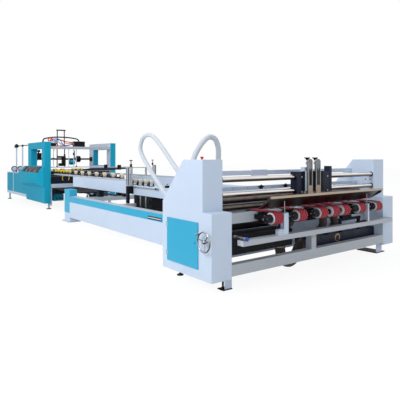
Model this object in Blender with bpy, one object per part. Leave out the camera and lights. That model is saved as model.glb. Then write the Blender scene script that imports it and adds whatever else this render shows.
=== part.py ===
"""A box folder gluer line: feeder, folding section and delivery unit.

Line coordinates, in metres: x runs across the line from the operator side, y runs along the
feed from the feeder's lower front face, z runs up from the floor. Pieces are written in these
coordinates, and one empty moves them all so that the part stands centred on the origin.
"""

import math

import bmesh
import bpy
from mathutils import Matrix, Vector

# General.
GAP = 0.0003
FLOOR = 0.0
WHEEL_REACH = -0.12
BELT_AXIS_Y = -0.10
BELT_AXIS_Z = 0.80
BELT_RADIUS = 0.075

# Feeder housings.
FEEDER_WIDTH = 3.78
HOUSING_THICKNESS = 0.297
HOUSING_BOTTOM = 0.145
STEP_Z = 0.905
FEEDER_HEIGHT = 1.50
UPPER_FRONT_Y = 0.162
TOP_REAR_Y = 0.542
FEEDER_REAR_Y = 0.991
SLOPE_FOOT_Z = 0.98
INNER_NEAR = HOUSING_THICKNESS + GAP
INNER_FAR = FEEDER_WIDTH - HOUSING_THICKNESS - GAP
FOOT_RADIUS = 0.045
FOOT_STEM_RADIUS = 0.014
FOOT_PAD_HEIGHT = 0.022
FRONT_FOOT_INSET = 0.009
FRONT_FOOT_Y = 0.148
REAR_FOOT_INSET = 0.052
REAR_FOOT_Y = FEEDER_REAR_Y - 0.041
FOOT_BRACKET = 0.008
FOOT_BRACKET_REACH = 0.088
FOOT_BRACKET_TOP = 0.29

# Operator door.
DOOR_FRONT_Y = 0.235
DOOR_REAR_Y = 0.871
DOOR_BOTTOM = 0.255
DOOR_TOP = 0.785
DOOR_THICKNESS = 0.012
DOOR_LAP = 0.014
CABINET_DEPTH = 0.262
HINGE_X = -0.0095
HINGE_Y = 0.881
HINGE_RADIUS = 0.0085
HINGE_HEIGHTS = (0.35, 0.70)
HINGE_LENGTH = 0.055

# Handwheel.
WHEEL_Y = 0.072
WHEEL_Z = 0.595
WHEEL_RADIUS = 0.118
WHEEL_RIM = 0.009
WHEEL_X = -0.052
WHEEL_SHAFT = 0.011
RUNNING = 0.0003

# Guide rods, bars and rolls between the housings.
ROD_Y = 0.21
ROD_RADIUS = 0.034
ROD_HEIGHTS = (1.262, 1.08)
REAR_BEAM_Y = (0.56, 0.62)
REAR_BEAM_Z = (FEEDER_HEIGHT - 0.21, FEEDER_HEIGHT - 0.148)
STOP_BAR_Y = (0.46, 0.50)
STOP_BAR_Z = (1.10, 1.15)
ROLL_Y = 0.42
ROLL_RADIUS = 0.042
UPPER_ROLL_Z = 0.987
LOWER_ROLL_Z = 0.893
FRONT_BEAM_Y = (0.0, 0.10)
FRONT_BEAM_Z = (0.175, 0.307)
TABLE_BEAM_Y = (0.13, 0.21)
TABLE_BEAM_Z = (0.745, 0.862)
DRIVE_SHAFT_Y = 0.36
DRIVE_SHAFT_Z = 0.657
DRIVE_SHAFT_RADIUS = 0.04
REAR_COVER_Y = (0.70, FEEDER_REAR_Y)
REAR_COVER_Z = (0.175, 0.95)

# Tail support rail, its brackets and the sheet tray.
RAIL_Y = (-0.10, 0.0)
RAIL_Z = (0.52, 0.583)
RAIL_X = (0.378, 3.59)
BRACKETS_X = ((1.05, 1.14), (2.88, 2.93))
BRACKET_TOP = 0.85
BRACKET_Y = (-0.098, -0.045)
TRAY_X = (0.763, 3.215)
TRAY_SHEET = 0.005
TRAY_FRONT = (-0.150, 1.060)
TRAY_REAR = (0.050, 0.900)
TRAY_LIP = 0.024
TRAY_ROD_Y = -0.070
TRAY_ROD_RADIUS = 0.006
CYLINDER_X = RAIL_X[0] + 0.032
CYLINDER_Y = (RAIL_Y[0] - 0.012, RAIL_Y[1] + 0.09)
CYLINDER_RADIUS = 0.020
CYLINDER_CAP_RADIUS = 0.023
CENTRE_POST_X = (1.71, 1.81)
CENTRE_SHELF_X = 1.45

# Feed belts: the left face of each, and the reach of the dark hub beside it.
BELT_FACES = (0.82, 1.268, 1.693, 1.955, 2.197, 2.584, 3.016)
BELT_HUBS = (0.13, 0.115, 0.13, 0.03, 0.03, 0.13, 0.07)
BELT_WIDTH = 0.15
BELT_REAR_Y = 0.28
BELT_THICKNESS = 0.006
BELT_ARM_Z = (0.775, 0.835)
HUB_RADIUS = 0.052

# Gates and the carriages that hold them.
BLOCK_Y = (0.150, 0.270)
BLOCK_Z = (1.04, 1.335)
LEFT_BLOCK_X = (1.60, 1.741)
RIGHT_BLOCK_X = (2.109, 2.309)
LEFT_POST_X = (1.739, 1.794)
RIGHT_POST_X = (2.307, 2.357)
LEFT_POST_Y = (0.148, 0.208)
RIGHT_POST_Y = (0.148, 0.245)
LEFT_POST_TOP = 1.396
RIGHT_POST_TOP = 1.405
ARM_Y = (0.1303, 0.158)
ARM_Z = (1.07, 1.34)
LEFT_ARM_END = 1.872
RIGHT_ARM_END = 1.886
GATE_Y = (0.10, 0.13)
GATE_BOTTOM = 0.905
GATE_TOP = 1.508
LEFT_GATE_X = (1.768, 1.866)
RIGHT_GATE_X = (1.934, 2.042)
KNOB_Y = 0.160
KNOB_TOP = 1.528
KNOB_RADIUS = 0.040

# Suction boxes and hoses.
BOX_Y = (0.15, 0.45)
LEFT_BOX_X = (INNER_NEAR, 1.50)
LEFT_BOX_Z = (0.37, 0.59)
RIGHT_BOX_X = (1.90, INNER_FAR)
RIGHT_BOX_Z = (0.216, 0.423)
SUCTION_RADIUS = 0.07
BRANCH_RADIUS = 0.055
AIR_HOSE_RADIUS = 0.0375
AIR_HOSE_X = 0.83
AIR_HOSE_Y = 0.85
FRONT_ARCH_X = (HOUSING_THICKNESS + 0.052, 0.803)
REAR_ARCH_Y = 1.88
REAR_ARCH_Z = 0.84
COLLAR_HEIGHT = 0.028
COLLAR_WALL = 0.008
COLLAR_PLAY = 0.002
COLLAR_DEPTH = 0.002

# Folding section.
LINE_CENTRE = 2.20
SILL_X = (0.74, 0.92)
SILL_Z = (0.125, 0.622)
SILL_START_Y = FEEDER_REAR_Y + GAP
SILL_END_Y = 6.251
POST_END_Y = 6.59
POST_Z = 0.78
FOOT_PLATE_X = (0.72, 1.03)
FOOT_PLATE_Y = (6.29, 6.73)
FOOT_PLATE = 0.018
CROSS_RAILS_Y = ((2.30, 2.42), (4.06, 4.20), (5.90, 6.04))
CROSS_RAIL_Z = (0.50, 0.60)
BEAM_X = (1.30, 1.48)
BEAM_BOTTOM = 0.775
FIRST_BEAM_Y = (1.15, 4.44)
FIRST_BEAM_TOP = 0.965
SECOND_BEAM_Y = (4.43, 7.51)
SECOND_BEAM_TOP = 1.03
MAST_X = (1.153, 1.214)
MAST_DEPTH = 0.06
NEAR_MAST_Y = 4.15
FAR_MAST_Y = 6.45
MAST_BOTTOM = CROSS_RAIL_Z[1] + 0.006
MAST_TOP = 1.345
MAST_PLATE_Z = (0.80, 0.955)
SCREW_X = 1.255
SCREW_RADIUS = 0.014
SCREW_TOP = 1.484
SCREW_KNOB = 0.034
SIDE_PIPE_X = 1.27
SIDE_PIPE_Z = 0.94
SIDE_PIPE_START_Y = 3.15
SIDE_PIPE_RADIUS = 0.012
GEARBOX_X = (1.27, 1.53)
GEARBOX_Y = (3.42, CROSS_RAILS_Y[1][0] - 0.03)
GEARBOX_BOTTOM = 0.50
PEDESTAL_X = (1.33, 1.45)
BANK_X = (1.35, 1.43)
BANK_Y = (4.60, 9.19)
BANK_RAIL = 0.045
BANK_ROLLER_RADIUS = 0.055
BANK_ROLLER_WIDTH = 0.11
BANK_ROLLER_Z = 1.135
BANK_ROLLER_STEP = 0.45
BANK_ROLLER_LEAD = 0.25
FRONT_ROLLERS_Y = (3.60, 3.82, 4.04, 4.26)
FRONT_ROLLER_RADIUS = 0.045
FRONT_ROLLER_Z = 1.055
BLADE_X = (2.17, 2.23)
BLADE_ARMS_Y = (6.60, 7.42)
BLADE_ARM_Z = (1.262, 1.285)
BLADE_LINE = (
    (6.13, 1.222, 1.250),
    (6.21, 1.251, 1.286),
    (7.28, 1.191, 1.262),
    (8.30, 1.160, 1.238),
    (8.96, 1.165, 1.195),
)
PLATE_TOP = 0.63
PLATE_X = (1.35, 2.75)
PLATE_Y = (7.20, 9.40)
PLATE_ARMS_X = ((1.75, 1.83), (2.57, 2.65))
PLATE_ARMS_Y = (CROSS_RAILS_Y[2][0] + 0.02, PLATE_Y[0] + 0.01)
PLATE_Z = (CROSS_RAIL_Z[1] + GAP, PLATE_TOP - GAP)
MOTOR_RADIUS = 0.09
MOTOR_X = (1.60, 1.83)
MOTOR_Y = PLATE_Y[0] + 0.07
MOTOR_Z = 0.485
MOTOR_SADDLE_X = (MOTOR_X[0] + 0.08, MOTOR_X[1] - 0.08)
DRIVE_BOX_X = (1.72, 2.30)
DRIVE_BOX_Y = (3.45, 4.80)
DRIVE_BOX_TOP = 0.735
DRIVE_BOX_BOTTOM = 0.42

# Delivery unit.
PORTAL_X = (1.095, 1.28)
PORTAL_CENTRE = 2.245
PORTAL_Y = (9.25, 10.97)
PORTAL_TOP = 2.02
WINDOW_Y = (9.53, 10.62)
WINDOW_Z = (1.29, 1.813)
CABINET_END_Y = 13.75
CABINET_TOP = 1.02
CABINET_BOTTOM = 0.175
CABINET_STEP_Y = PORTAL_Y[1] + 0.20
REAR_CABINET_BOTTOM = 0.235
FRONT_FOOT = (PORTAL_X[1] - 0.032, PORTAL_Y[0] + 0.09, CABINET_BOTTOM)
REAR_FOOT = (PORTAL_X[0] + 0.06, CABINET_END_Y - 0.15, REAR_CABINET_BOTTOM)
BETWEEN_NEAR = PORTAL_X[1] + GAP
BETWEEN_FAR = 2 * PORTAL_CENTRE - BETWEEN_NEAR
CONSOLE_X = 0.935
CONSOLE_Y = (PORTAL_Y[0] + 0.02, 11.40)
CONSOLE_BEVEL_Y = 9.58
CONSOLE_OUTER_Z = (0.757, 1.088)
CONSOLE_INNER_Z = (0.65, 1.28)
BRIDGE_Y = (9.28, 9.42)
TOP_BEAM_Z = (1.81, 1.89)
GUIDE_POSTS_X = (1.39, 1.50, 1.73, 1.86, 2.02, 2.10)
GUIDE_POST_RADIUS = 0.010
GUIDE_RAIL_Z = (1.235, 1.268)
PRESS_Y = PORTAL_Y[1] - 0.17
PRESS_Z = 1.502
PRESS_RADIUS = 0.028
PRESS_WHEEL_X = (2.65, 2.80)
PRESS_WHEEL_RADIUS = 0.11
PRESS_ARM_X = (2.567, 2.607)
PRESS_ARM_TOP = 1.80
PRESS_BEARING = 0.04
PRESS_BEARING_Z = (1.43, 1.574)
PRESS_BLOCK_X = (2.02, 2.27)
PRESS_BLOCK_Z = (1.263, 1.604)
PRESS_COLUMN_X = 2.16
PRESS_BAR_Z = 1.54
PRESS_TOE_Z = 1.36
LIFT_MOTOR_X = (2.42, 2.60)
LIFT_MOTOR_RADIUS = 0.085
LEG_WIDTH = 0.045
LEG_Z = (0.10, 0.66)
VALVE_BLOCK_X = (1.30, 1.47)
VALVE_BLOCK_TOP = 2.13
LOWER_BEAM_Z = (PLATE_TOP + GAP, 0.75)
BELT_HOUSING_Z = (LOWER_BEAM_Z[1] + GAP, 1.14)
INFEED_ROLLER_Z = 1.178
INFEED_ROLLER_RADIUS = 0.035
INFEED_SHAFT_RADIUS = 0.014
INFEED_WHEELS_X = (1.433, 1.651, 2.00, 2.13, 2.26, 2.62, 2.95)
INFEED_WHEEL_WIDTH = 0.07
SWITCH_BOX_X = (2.03, 2.36)
SWITCH_BOX_TOP = 2.025
FRAME_X = (1.48, 1.756)
FRAME_TOP = 2.40
FRAME_BAR = 0.024
BED_Y = (9.95, CABINET_END_Y - 0.13)
BED_Z = (0.55, 1.02)
UPRIGHTS_Y = (BED_Y[1] - 1.05, BED_Y[1] - 0.23)
UPRIGHT_X = 1.34
UPRIGHT_TOP = 2.03
UPRIGHT_RADIUS = 0.024
HANGING_ROD_Z = 1.985
HANGING_ROD_Y = (UPRIGHTS_Y[0] - 1.60, UPRIGHTS_Y[1] + 0.12)
STACK_ROLLERS_Y = (UPRIGHTS_Y[0] + 0.20, UPRIGHTS_Y[0] + 0.45, UPRIGHTS_Y[1] + 0.06)
STACK_ROLLER_Z = 1.125
STACK_ROLLER_RADIUS = 0.07
VALVE_BOX_X = (1.44, 1.745)
VALVE_BOX_Y = (9.46, 9.76)
VALVE_BOX_Z = (0.216, 0.426)
CABLE_RADIUS = 0.02
CABLE_START = (1.185, 9.70)
CABLE_END = (2.20, 9.40)

# The part's box in line coordinates, for centring it on the origin.
CENTRE_X = (WHEEL_REACH + FEEDER_WIDTH) / 2
CENTRE_Y = (BELT_AXIS_Y - BELT_RADIUS + CABINET_END_Y) / 2

WHITE = ("white_paint", (0.80, 0.84, 0.90), 0.38, 0.0)
TEAL = ("teal_paint", (0.045, 0.42, 0.62), 0.36, 0.0)
CHROME = ("chrome", (0.72, 0.70, 0.68), 0.16, 1.0)
STEEL = ("steel", (0.48, 0.47, 0.46), 0.34, 1.0)
CRIMSON = ("crimson_rubber", (0.45, 0.035, 0.06), 0.62, 0.0)
NAVY = ("navy_paint", (0.025, 0.04, 0.10), 0.42, 0.0)
DARK = ("dark_paint", (0.035, 0.035, 0.045), 0.50, 0.0)
HOSE = ("brown_hose", (0.13, 0.10, 0.085), 0.60, 0.0)
AIR = ("white_hose", (0.78, 0.81, 0.84), 0.42, 0.0)
YELLOW = ("yellow_roller", (0.85, 0.62, 0.04), 0.50, 0.0)

for old in list(bpy.data.objects):
    bpy.data.objects.remove(old, do_unlink=True)

PART = bpy.data.collections.new("box_folder_gluer")
bpy.context.scene.collection.children.link(PART)
SHAPES = bpy.data.collections.new("joining_and_cutting_shapes")
bpy.context.scene.collection.children.link(SHAPES)

ROOT = bpy.data.objects.new("line_centre", None)
ROOT.location = (-CENTRE_X, -CENTRE_Y, 0.0)
PART.objects.link(ROOT)


def material(spec):
    """A plain Principled material, made once for each paint."""
    name, colour, roughness, metallic = spec
    found = bpy.data.materials.get(name)
    if found:
        return found
    made = bpy.data.materials.new(name)
    made.use_nodes = True
    shader = made.node_tree.nodes["Principled BSDF"]
    shader.inputs["Base Color"].default_value = (*colour, 1.0)
    shader.inputs["Roughness"].default_value = roughness
    shader.inputs["Metallic"].default_value = metallic
    return made


def mesh_from(shape, name):
    """A mesh from a finished bmesh."""
    mesh = bpy.data.meshes.new(name)
    shape.to_mesh(mesh)
    shape.free()
    return mesh


def block(x, y, z):
    """A rectangular block between pairs of coordinates."""
    shape = bmesh.new()
    middle = Vector(((x[0] + x[1]) / 2, (y[0] + y[1]) / 2, (z[0] + z[1]) / 2))
    size = Matrix.Diagonal((x[1] - x[0], y[1] - y[0], z[1] - z[0], 1.0))
    bmesh.ops.create_cube(shape, size=1.0, matrix=Matrix.Translation(middle) @ size)
    return mesh_from(shape, "block")


def rod(start, end, radius, sides=24, end_radius=None):
    """A round bar, or a cone, from one point to another."""
    shape = bmesh.new()
    start = Vector(start)
    run = Vector(end) - start
    turn = run.to_track_quat("Z", "Y").to_matrix().to_4x4()
    place = Matrix.Translation(start + run / 2) @ turn
    bmesh.ops.create_cone(
        shape,
        cap_ends=True,
        segments=sides,
        radius1=radius,
        radius2=radius if end_radius is None else end_radius,
        depth=run.length,
        matrix=place,
    )
    return mesh_from(shape, "rod")


def curve_mesh(curve):
    """The welded mesh of a curve, which is then dropped."""
    carrier = bpy.data.objects.new("curve", curve)
    SHAPES.objects.link(carrier)
    bpy.context.view_layer.update()
    evaluated = carrier.evaluated_get(bpy.context.evaluated_depsgraph_get())
    mesh = bpy.data.meshes.new_from_object(evaluated)
    bpy.data.objects.remove(carrier, do_unlink=True)
    shape = bmesh.new()
    shape.from_mesh(mesh)
    bmesh.ops.remove_doubles(shape, verts=shape.verts, dist=0.00001)
    bmesh.ops.recalc_face_normals(shape, faces=shape.faces)
    return mesh_from(shape, "curve")


def plate(across, reach, outline):
    """A flat outline given thickness across one axis.

    Across x the outline holds (y, z), across y it holds (x, z) and across z it holds (x, y).
    """
    curve = bpy.data.curves.new("outline", "CURVE")
    curve.dimensions = "2D"
    curve.fill_mode = "BOTH"
    curve.extrude = (reach[1] - reach[0]) / 2
    line = curve.splines.new("POLY")
    line.points.add(len(outline) - 1)
    for point, place in zip(line.points, outline):
        point.co = (place[0], place[1], 0.0, 1.0)
    line.use_cyclic_u = True
    mesh = curve_mesh(curve)
    turns = {
        "x": Matrix(((0, 0, 1), (1, 0, 0), (0, 1, 0))),
        "y": Matrix(((1, 0, 0), (0, 0, -1), (0, 1, 0))),
        "z": Matrix.Identity(3),
    }
    shift = Vector([(reach[0] + reach[1]) / 2 if axis == across else 0.0 for axis in "xyz"])
    mesh.transform(Matrix.Translation(shift) @ turns[across].to_4x4())
    return mesh


def route(knots, spacing):
    """Even points on a smooth curve through the knots; its first and last stretches stay straight."""
    knots = [Vector(knot) for knot in knots]
    runs = [(b - a).length for a, b in zip(knots, knots[1:])]
    points = [knots[0]]
    for number in range(1, len(knots) - 2):
        here, after = knots[number], knots[number + 1]
        length = runs[number]
        leave = (after - knots[number - 1]) / (runs[number - 1] + length) * length
        arrive = (knots[number + 2] - here) / (length + runs[number + 1]) * length
        steps = max(1, round(length / spacing))
        for step in range(steps):
            t = step / steps
            points.append(
                here * (2 * t**3 - 3 * t**2 + 1)
                + leave * (t**3 - 2 * t**2 + t)
                + after * (3 * t**2 - 2 * t**3)
                + arrive * (t**3 - t**2)
            )
    return points + knots[-2:]


def tube(knots, radius, spacing, resolution=3):
    """A bent round tube through the knots, with closed ends that stand square to its ends."""
    curve = bpy.data.curves.new("path", "CURVE")
    curve.dimensions = "3D"
    curve.bevel_depth = radius
    curve.bevel_resolution = resolution
    curve.use_fill_caps = True
    points = route(knots, spacing)
    line = curve.splines.new("POLY")
    line.points.add(len(points) - 1)
    for point, place in zip(line.points, points):
        point.co = (*place, 1.0)
    return curve_mesh(curve)


def collar(seat, way, radius):
    """A short sleeve round the end of a hose on the face that it enters, and the bore to cut in it."""
    seat = Vector(seat)
    way = Vector(way)
    sleeve = rod(seat - way * 0.004, seat + way * COLLAR_HEIGHT, radius + COLLAR_PLAY + COLLAR_WALL, 20)
    bore = rod(seat - way * COLLAR_DEPTH, seat + way * (COLLAR_HEIGHT + 0.01), radius + COLLAR_PLAY, 20)
    return sleeve, bore


def ring(centre, axis_x, radius, thickness):
    """A round ring that stands across x."""
    bpy.ops.mesh.primitive_torus_add(
        major_segments=32,
        minor_segments=8,
        major_radius=radius,
        minor_radius=thickness,
    )
    made = bpy.context.object
    mesh = made.data
    bpy.data.objects.remove(made, do_unlink=True)
    turn = Matrix.Rotation(math.pi / 2, 4, "Y")
    mesh.transform(Matrix.Translation(Vector((axis_x, *centre))) @ turn)
    return mesh


def stadium(front, rear, height, radius, steps=12):
    """A belt's side outline round two pulleys, as (y, z)."""
    points = []
    for step in range(steps + 1):
        angle = math.pi / 2 + math.pi * step / steps
        points.append((front + radius * math.cos(angle), height + radius * math.sin(angle)))
    for step in range(steps + 1):
        angle = -math.pi / 2 + math.pi * step / steps
        points.append((rear + radius * math.cos(angle), height + radius * math.sin(angle)))
    return points


def between_pulleys(front, rear, height, radius, steps=8):
    """The outline of the open space inside a belt, between its two pulleys, as (y, z)."""
    points = []
    for step in range(steps + 1):
        angle = math.radians(-70 + 140 * step / steps)
        points.append((front + radius * math.cos(angle), height + radius * math.sin(angle)))
    points.append((points[-1][0], height + radius))
    facing = [(front + rear - y, 2 * height - z) for y, z in points]
    return [(points[0][0], height - radius)] + points + [(facing[0][0], height + radius)] + facing


def carrier_for(mesh, name, origin, collection, paint):
    """An object that holds a mesh, placed at its origin in line coordinates."""
    mesh.transform(Matrix.Translation(-Vector(origin)))
    mesh.materials.clear()
    mesh.materials.append(material(paint))
    made = bpy.data.objects.new(name, mesh)
    collection.objects.link(made)
    made.parent = ROOT
    made.location = origin
    return made


def piece(name, paint, solids, cuts=(), origin=(0.0, 0.0, 0.0), round_piece=False, steps=()):
    """One named sub-part: the first solid, with the others joined to it and the cuts taken out.

    The steps, where there are any, are further joins and cuts in the order that they are given.
    """
    made = carrier_for(solids[0], name, origin, PART, paint)
    jobs = [("UNION", mesh) for mesh in solids[1:]] + [("DIFFERENCE", mesh) for mesh in cuts] + list(steps)
    for number, (kind, mesh) in enumerate(jobs):
        helper = carrier_for(mesh, f"{name}_{kind.lower()}_{number + 1}", origin, SHAPES, paint)
        helper.hide_render = True
        helper.display_type = "WIRE"
        step = made.modifiers.new(f"{kind.lower()}_{number + 1}", "BOOLEAN")
        step.operation = kind
        step.solver = "EXACT"
        step.object = helper
    if round_piece:
        made.data.shade_smooth()
        made.data.set_sharp_from_angle(angle=math.radians(35))
    return made


def mirrored_x(reach, centre):
    """The same reach on the far side of a centre line."""
    return (2 * centre - reach[1], 2 * centre - reach[0])


def foot(x, y, top):
    """A levelling foot: a pad on the floor with a stem that enters the body above."""
    pad = rod((x, y, FLOOR), (x, y, FOOT_PAD_HEIGHT), FOOT_RADIUS, 20, FOOT_RADIUS * 0.8)
    stem = rod((x, y, FOOT_PAD_HEIGHT / 2), (x, y, top), FOOT_STEM_RADIUS, 12)
    return [pad, stem]


def housing_feet(far):
    """Two feet under a housing; the front one is a bolt on a plate with an upright web.

    The near housing's web stands beside its inner face, and the far housing's web stands under it.
    """
    web_y = FRONT_BEAM_Y[1] + GAP
    if far:
        inner = INNER_FAR
        x, rear_x = inner + 0.117, inner + REAR_FOOT_INSET
        base_x, web_x = (inner - 0.04, inner + 0.207), (inner - 0.023, inner + 0.137)
        base_y, web_top = (web_y - 0.01, web_y + 0.34), HOUSING_BOTTOM + 0.02
    else:
        inner = HOUSING_THICKNESS
        x, rear_x = inner - FRONT_FOOT_INSET, inner - REAR_FOOT_INSET
        base_x, web_x = (inner - 0.05, inner + FOOT_BRACKET_REACH), (inner - 0.02, inner + FOOT_BRACKET_REACH)
        base_y, web_top = (web_y - 0.01, web_y + 0.10), FOOT_BRACKET_TOP
    solids = [
        block(base_x, base_y, (FLOOR, 0.012)),
        block(web_x, (web_y, web_y + FOOT_BRACKET), (0.006, web_top)),
        rod((x, FRONT_FOOT_Y, 0.006), (x, FRONT_FOOT_Y, HOUSING_BOTTOM + 0.02), FOOT_STEM_RADIUS, 12),
        rod((x, FRONT_FOOT_Y, 0.010), (x, FRONT_FOOT_Y, 0.030), FOOT_STEM_RADIUS * 1.6, 6),
    ]
    return solids + foot(rear_x, REAR_FOOT_Y, HOUSING_BOTTOM + 0.02)


def housing_outline():
    """The side outline of a feeder housing."""
    return [
        (0.0, HOUSING_BOTTOM),
        (FEEDER_REAR_Y, HOUSING_BOTTOM),
        (FEEDER_REAR_Y, SLOPE_FOOT_Z),
        (TOP_REAR_Y, FEEDER_HEIGHT),
        (UPPER_FRONT_Y, FEEDER_HEIGHT),
        (UPPER_FRONT_Y, STEP_Z),
        (0.0, STEP_Z),
    ]


def operator_side_housing():
    """The housing on the operator side, with the cabinet behind its door and a shaft hole."""
    body = plate("x", (0.0, HOUSING_THICKNESS), housing_outline())
    solids = [body] + housing_feet(far=False)
    button = rod((0.10, 0.30, FEEDER_HEIGHT - 0.01), (0.10, 0.30, FEEDER_HEIGHT + 0.018), 0.012, 16)
    cap = rod((0.10, 0.30, FEEDER_HEIGHT + 0.016), (0.10, 0.30, FEEDER_HEIGHT + 0.034), 0.014, 16, 0.021)
    knuckle_z = sum(HINGE_HEIGHTS) / 2
    solids += [button, cap]
    cabinet = block(
        (-0.01, CABINET_DEPTH),
        (DOOR_FRONT_Y + DOOR_LAP, DOOR_REAR_Y - DOOR_LAP),
        (DOOR_BOTTOM + DOOR_LAP, DOOR_TOP - DOOR_LAP),
    )
    hole = rod((-0.01, WHEEL_Y, WHEEL_Z), (0.12, WHEEL_Y, WHEEL_Z), WHEEL_SHAFT + RUNNING, 24)
    hinge_pin = rod(
        (HINGE_X, HINGE_Y, knuckle_z - 0.12), (HINGE_X, HINGE_Y, knuckle_z + 0.12), HINGE_RADIUS * 0.7, 12
    )
    hinge_leaf = block((HINGE_X, 0.01), (HINGE_Y - 0.002, HINGE_Y + 0.02), (knuckle_z - 0.1, knuckle_z + 0.1))
    solids += [hinge_pin, hinge_leaf]
    piece("operator_side_housing", WHITE, solids, [cabinet, hole])


def operator_door():
    """The teal door in front of the cabinet, with a hinge knuckle near each end and a latch."""
    panel = block(
        (-DOOR_THICKNESS - GAP, -GAP), (DOOR_FRONT_Y, DOOR_REAR_Y), (DOOR_BOTTOM, DOOR_TOP)
    )
    solids = [panel]
    for z in HINGE_HEIGHTS:
        low, high = z - HINGE_LENGTH / 2, z + HINGE_LENGTH / 2
        knuckle = rod((HINGE_X, HINGE_Y, low), (HINGE_X, HINGE_Y, high), HINGE_RADIUS, 16)
        leaf = block(
            (-DOOR_THICKNESS - 0.003, -0.006),
            (DOOR_REAR_Y - 0.02, HINGE_Y),
            (low + 0.002, high - 0.002),
        )
        solids += [knuckle, leaf]
    latch = block((-0.022, -0.008), (DOOR_FRONT_Y + 0.045, DOOR_FRONT_Y + 0.075), (0.525, 0.575))
    solids.append(latch)
    piece("operator_door", TEAL, solids, origin=(HINGE_X, HINGE_Y, 0.5))


def handwheel():
    """The chromed handwheel: rim, three spokes, hub, shaft and crank handle."""
    centre = (WHEEL_Y, WHEEL_Z)
    rim_centre = WHEEL_RADIUS - WHEEL_RIM
    solids = [ring(centre, WHEEL_X, rim_centre, WHEEL_RIM)]
    for number in range(3):
        angle = math.radians(15 + 120 * number)
        tip = (
            WHEEL_X,
            WHEEL_Y + rim_centre * math.cos(angle),
            WHEEL_Z + rim_centre * math.sin(angle),
        )
        solids.append(rod((WHEEL_X + 0.008, WHEEL_Y, WHEEL_Z), tip, 0.0065, 8))
    solids.append(rod((WHEEL_X - 0.012, *centre), (WHEEL_X + 0.028, *centre), 0.022, 20))
    solids.append(rod((WHEEL_X, *centre), (0.10, *centre), WHEEL_SHAFT, 20))
    angle = math.radians(50)
    grip_y = WHEEL_Y + rim_centre * math.cos(angle)
    grip_z = WHEEL_Z + rim_centre * math.sin(angle)
    solids.append(rod((WHEEL_X, grip_y, grip_z), (WHEEL_REACH, grip_y, grip_z), 0.010, 12))
    piece("handwheel", CHROME, solids, origin=(WHEEL_X, WHEEL_Y, WHEEL_Z), round_piece=True)


def drive_side_housing():
    """The housing on the drive side, the same outline without a door."""
    near = FEEDER_WIDTH - HOUSING_THICKNESS
    solids = [plate("x", (near, FEEDER_WIDTH), housing_outline())] + housing_feet(far=True)
    piece("drive_side_housing", WHITE, solids)


def guide_rods():
    """The two chromed rods that the gate carriages slide on."""
    for name, z in zip(("upper_guide_rod", "lower_guide_rod"), ROD_HEIGHTS):
        bar = rod((INNER_NEAR, ROD_Y, z), (INNER_FAR, ROD_Y, z), ROD_RADIUS, 32)
        piece(name, CHROME, [bar], round_piece=True)


def cross_bars():
    """The bars and beams from housing to housing."""
    width = (INNER_NEAR, INNER_FAR)
    holder_y = (REAR_BEAM_Y[0] - 0.012, REAR_BEAM_Y[0] + 0.01)
    holder = block((1.137, 1.446), holder_y, (REAR_BEAM_Z[0] - 0.011, REAR_BEAM_Z[1] + 0.009))
    piece("rear_cross_beam", WHITE, [block(width, REAR_BEAM_Y, REAR_BEAM_Z), holder])
    stops = [block(width, STOP_BAR_Y, STOP_BAR_Z)]
    for x in (1.217, 1.706):
        stop_z = (STOP_BAR_Z[0] + 0.005, STOP_BAR_Z[1] + 0.012)
        stops.append(block((x - 0.02, x + 0.02), (STOP_BAR_Y[0] - 0.025, STOP_BAR_Y[0] + 0.01), stop_z))
    piece("back_stop_bar", WHITE, stops)
    piece("table_beam", WHITE, [block(width, TABLE_BEAM_Y, TABLE_BEAM_Z)])
    sleeves = [
        collar((AIR_HOSE_X, REAR_COVER_Y[1], REAR_ARCH_Z), (0, 1, 0), AIR_HOSE_RADIUS),
        collar((FRONT_ARCH_X[0], AIR_HOSE_Y, REAR_COVER_Z[1]), (0, 0, 1), AIR_HOSE_RADIUS),
        collar((FRONT_ARCH_X[1], AIR_HOSE_Y, REAR_COVER_Z[1]), (0, 0, 1), AIR_HOSE_RADIUS),
    ]
    cover = [block(width, REAR_COVER_Y, REAR_COVER_Z)] + [sleeve for sleeve, _ in sleeves]
    piece("rear_cover", WHITE, cover, [bore for _, bore in sleeves])
    centre = (DRIVE_SHAFT_Y, DRIVE_SHAFT_Z)
    shaft = rod((INNER_NEAR, *centre), (INNER_FAR, *centre), DRIVE_SHAFT_RADIUS)
    piece("belt_drive_shaft", DARK, [shaft], round_piece=True)


def lower_front_beam():
    """The lower front beam with its centre post and the shelf beside the post."""
    beam = block((INNER_NEAR, INNER_FAR), FRONT_BEAM_Y, FRONT_BEAM_Z)
    post = block(CENTRE_POST_X, (GAP, 0.098), (FRONT_BEAM_Z[1] - 0.01, RAIL_Z[1] - 0.004))
    shelf = block((CENTRE_SHELF_X, CENTRE_POST_X[0] + 0.01), (0.002, 0.12), (0.488, 0.502))
    piece("lower_front_beam", WHITE, [beam, post, shelf])


def feed_rolls():
    """The upper and lower feed rolls behind the guide rods."""
    for name, z in (("upper_feed_roll", UPPER_ROLL_Z), ("lower_feed_roll", LOWER_ROLL_Z)):
        body = rod((INNER_NEAR + 0.03, ROLL_Y, z), (INNER_FAR - 0.03, ROLL_Y, z), ROLL_RADIUS, 32)
        shaft = rod((INNER_NEAR, ROLL_Y, z), (INNER_FAR, ROLL_Y, z), 0.02, 20)
        piece(name, STEEL, [body, shaft], origin=(LINE_CENTRE, ROLL_Y, z), round_piece=True)


def tray_height(y):
    """The height of the tray's underside at y."""
    share = (y - TRAY_FRONT[0]) / (TRAY_REAR[0] - TRAY_FRONT[0])
    return TRAY_FRONT[1] + share * (TRAY_REAR[1] - TRAY_FRONT[1])


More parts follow.
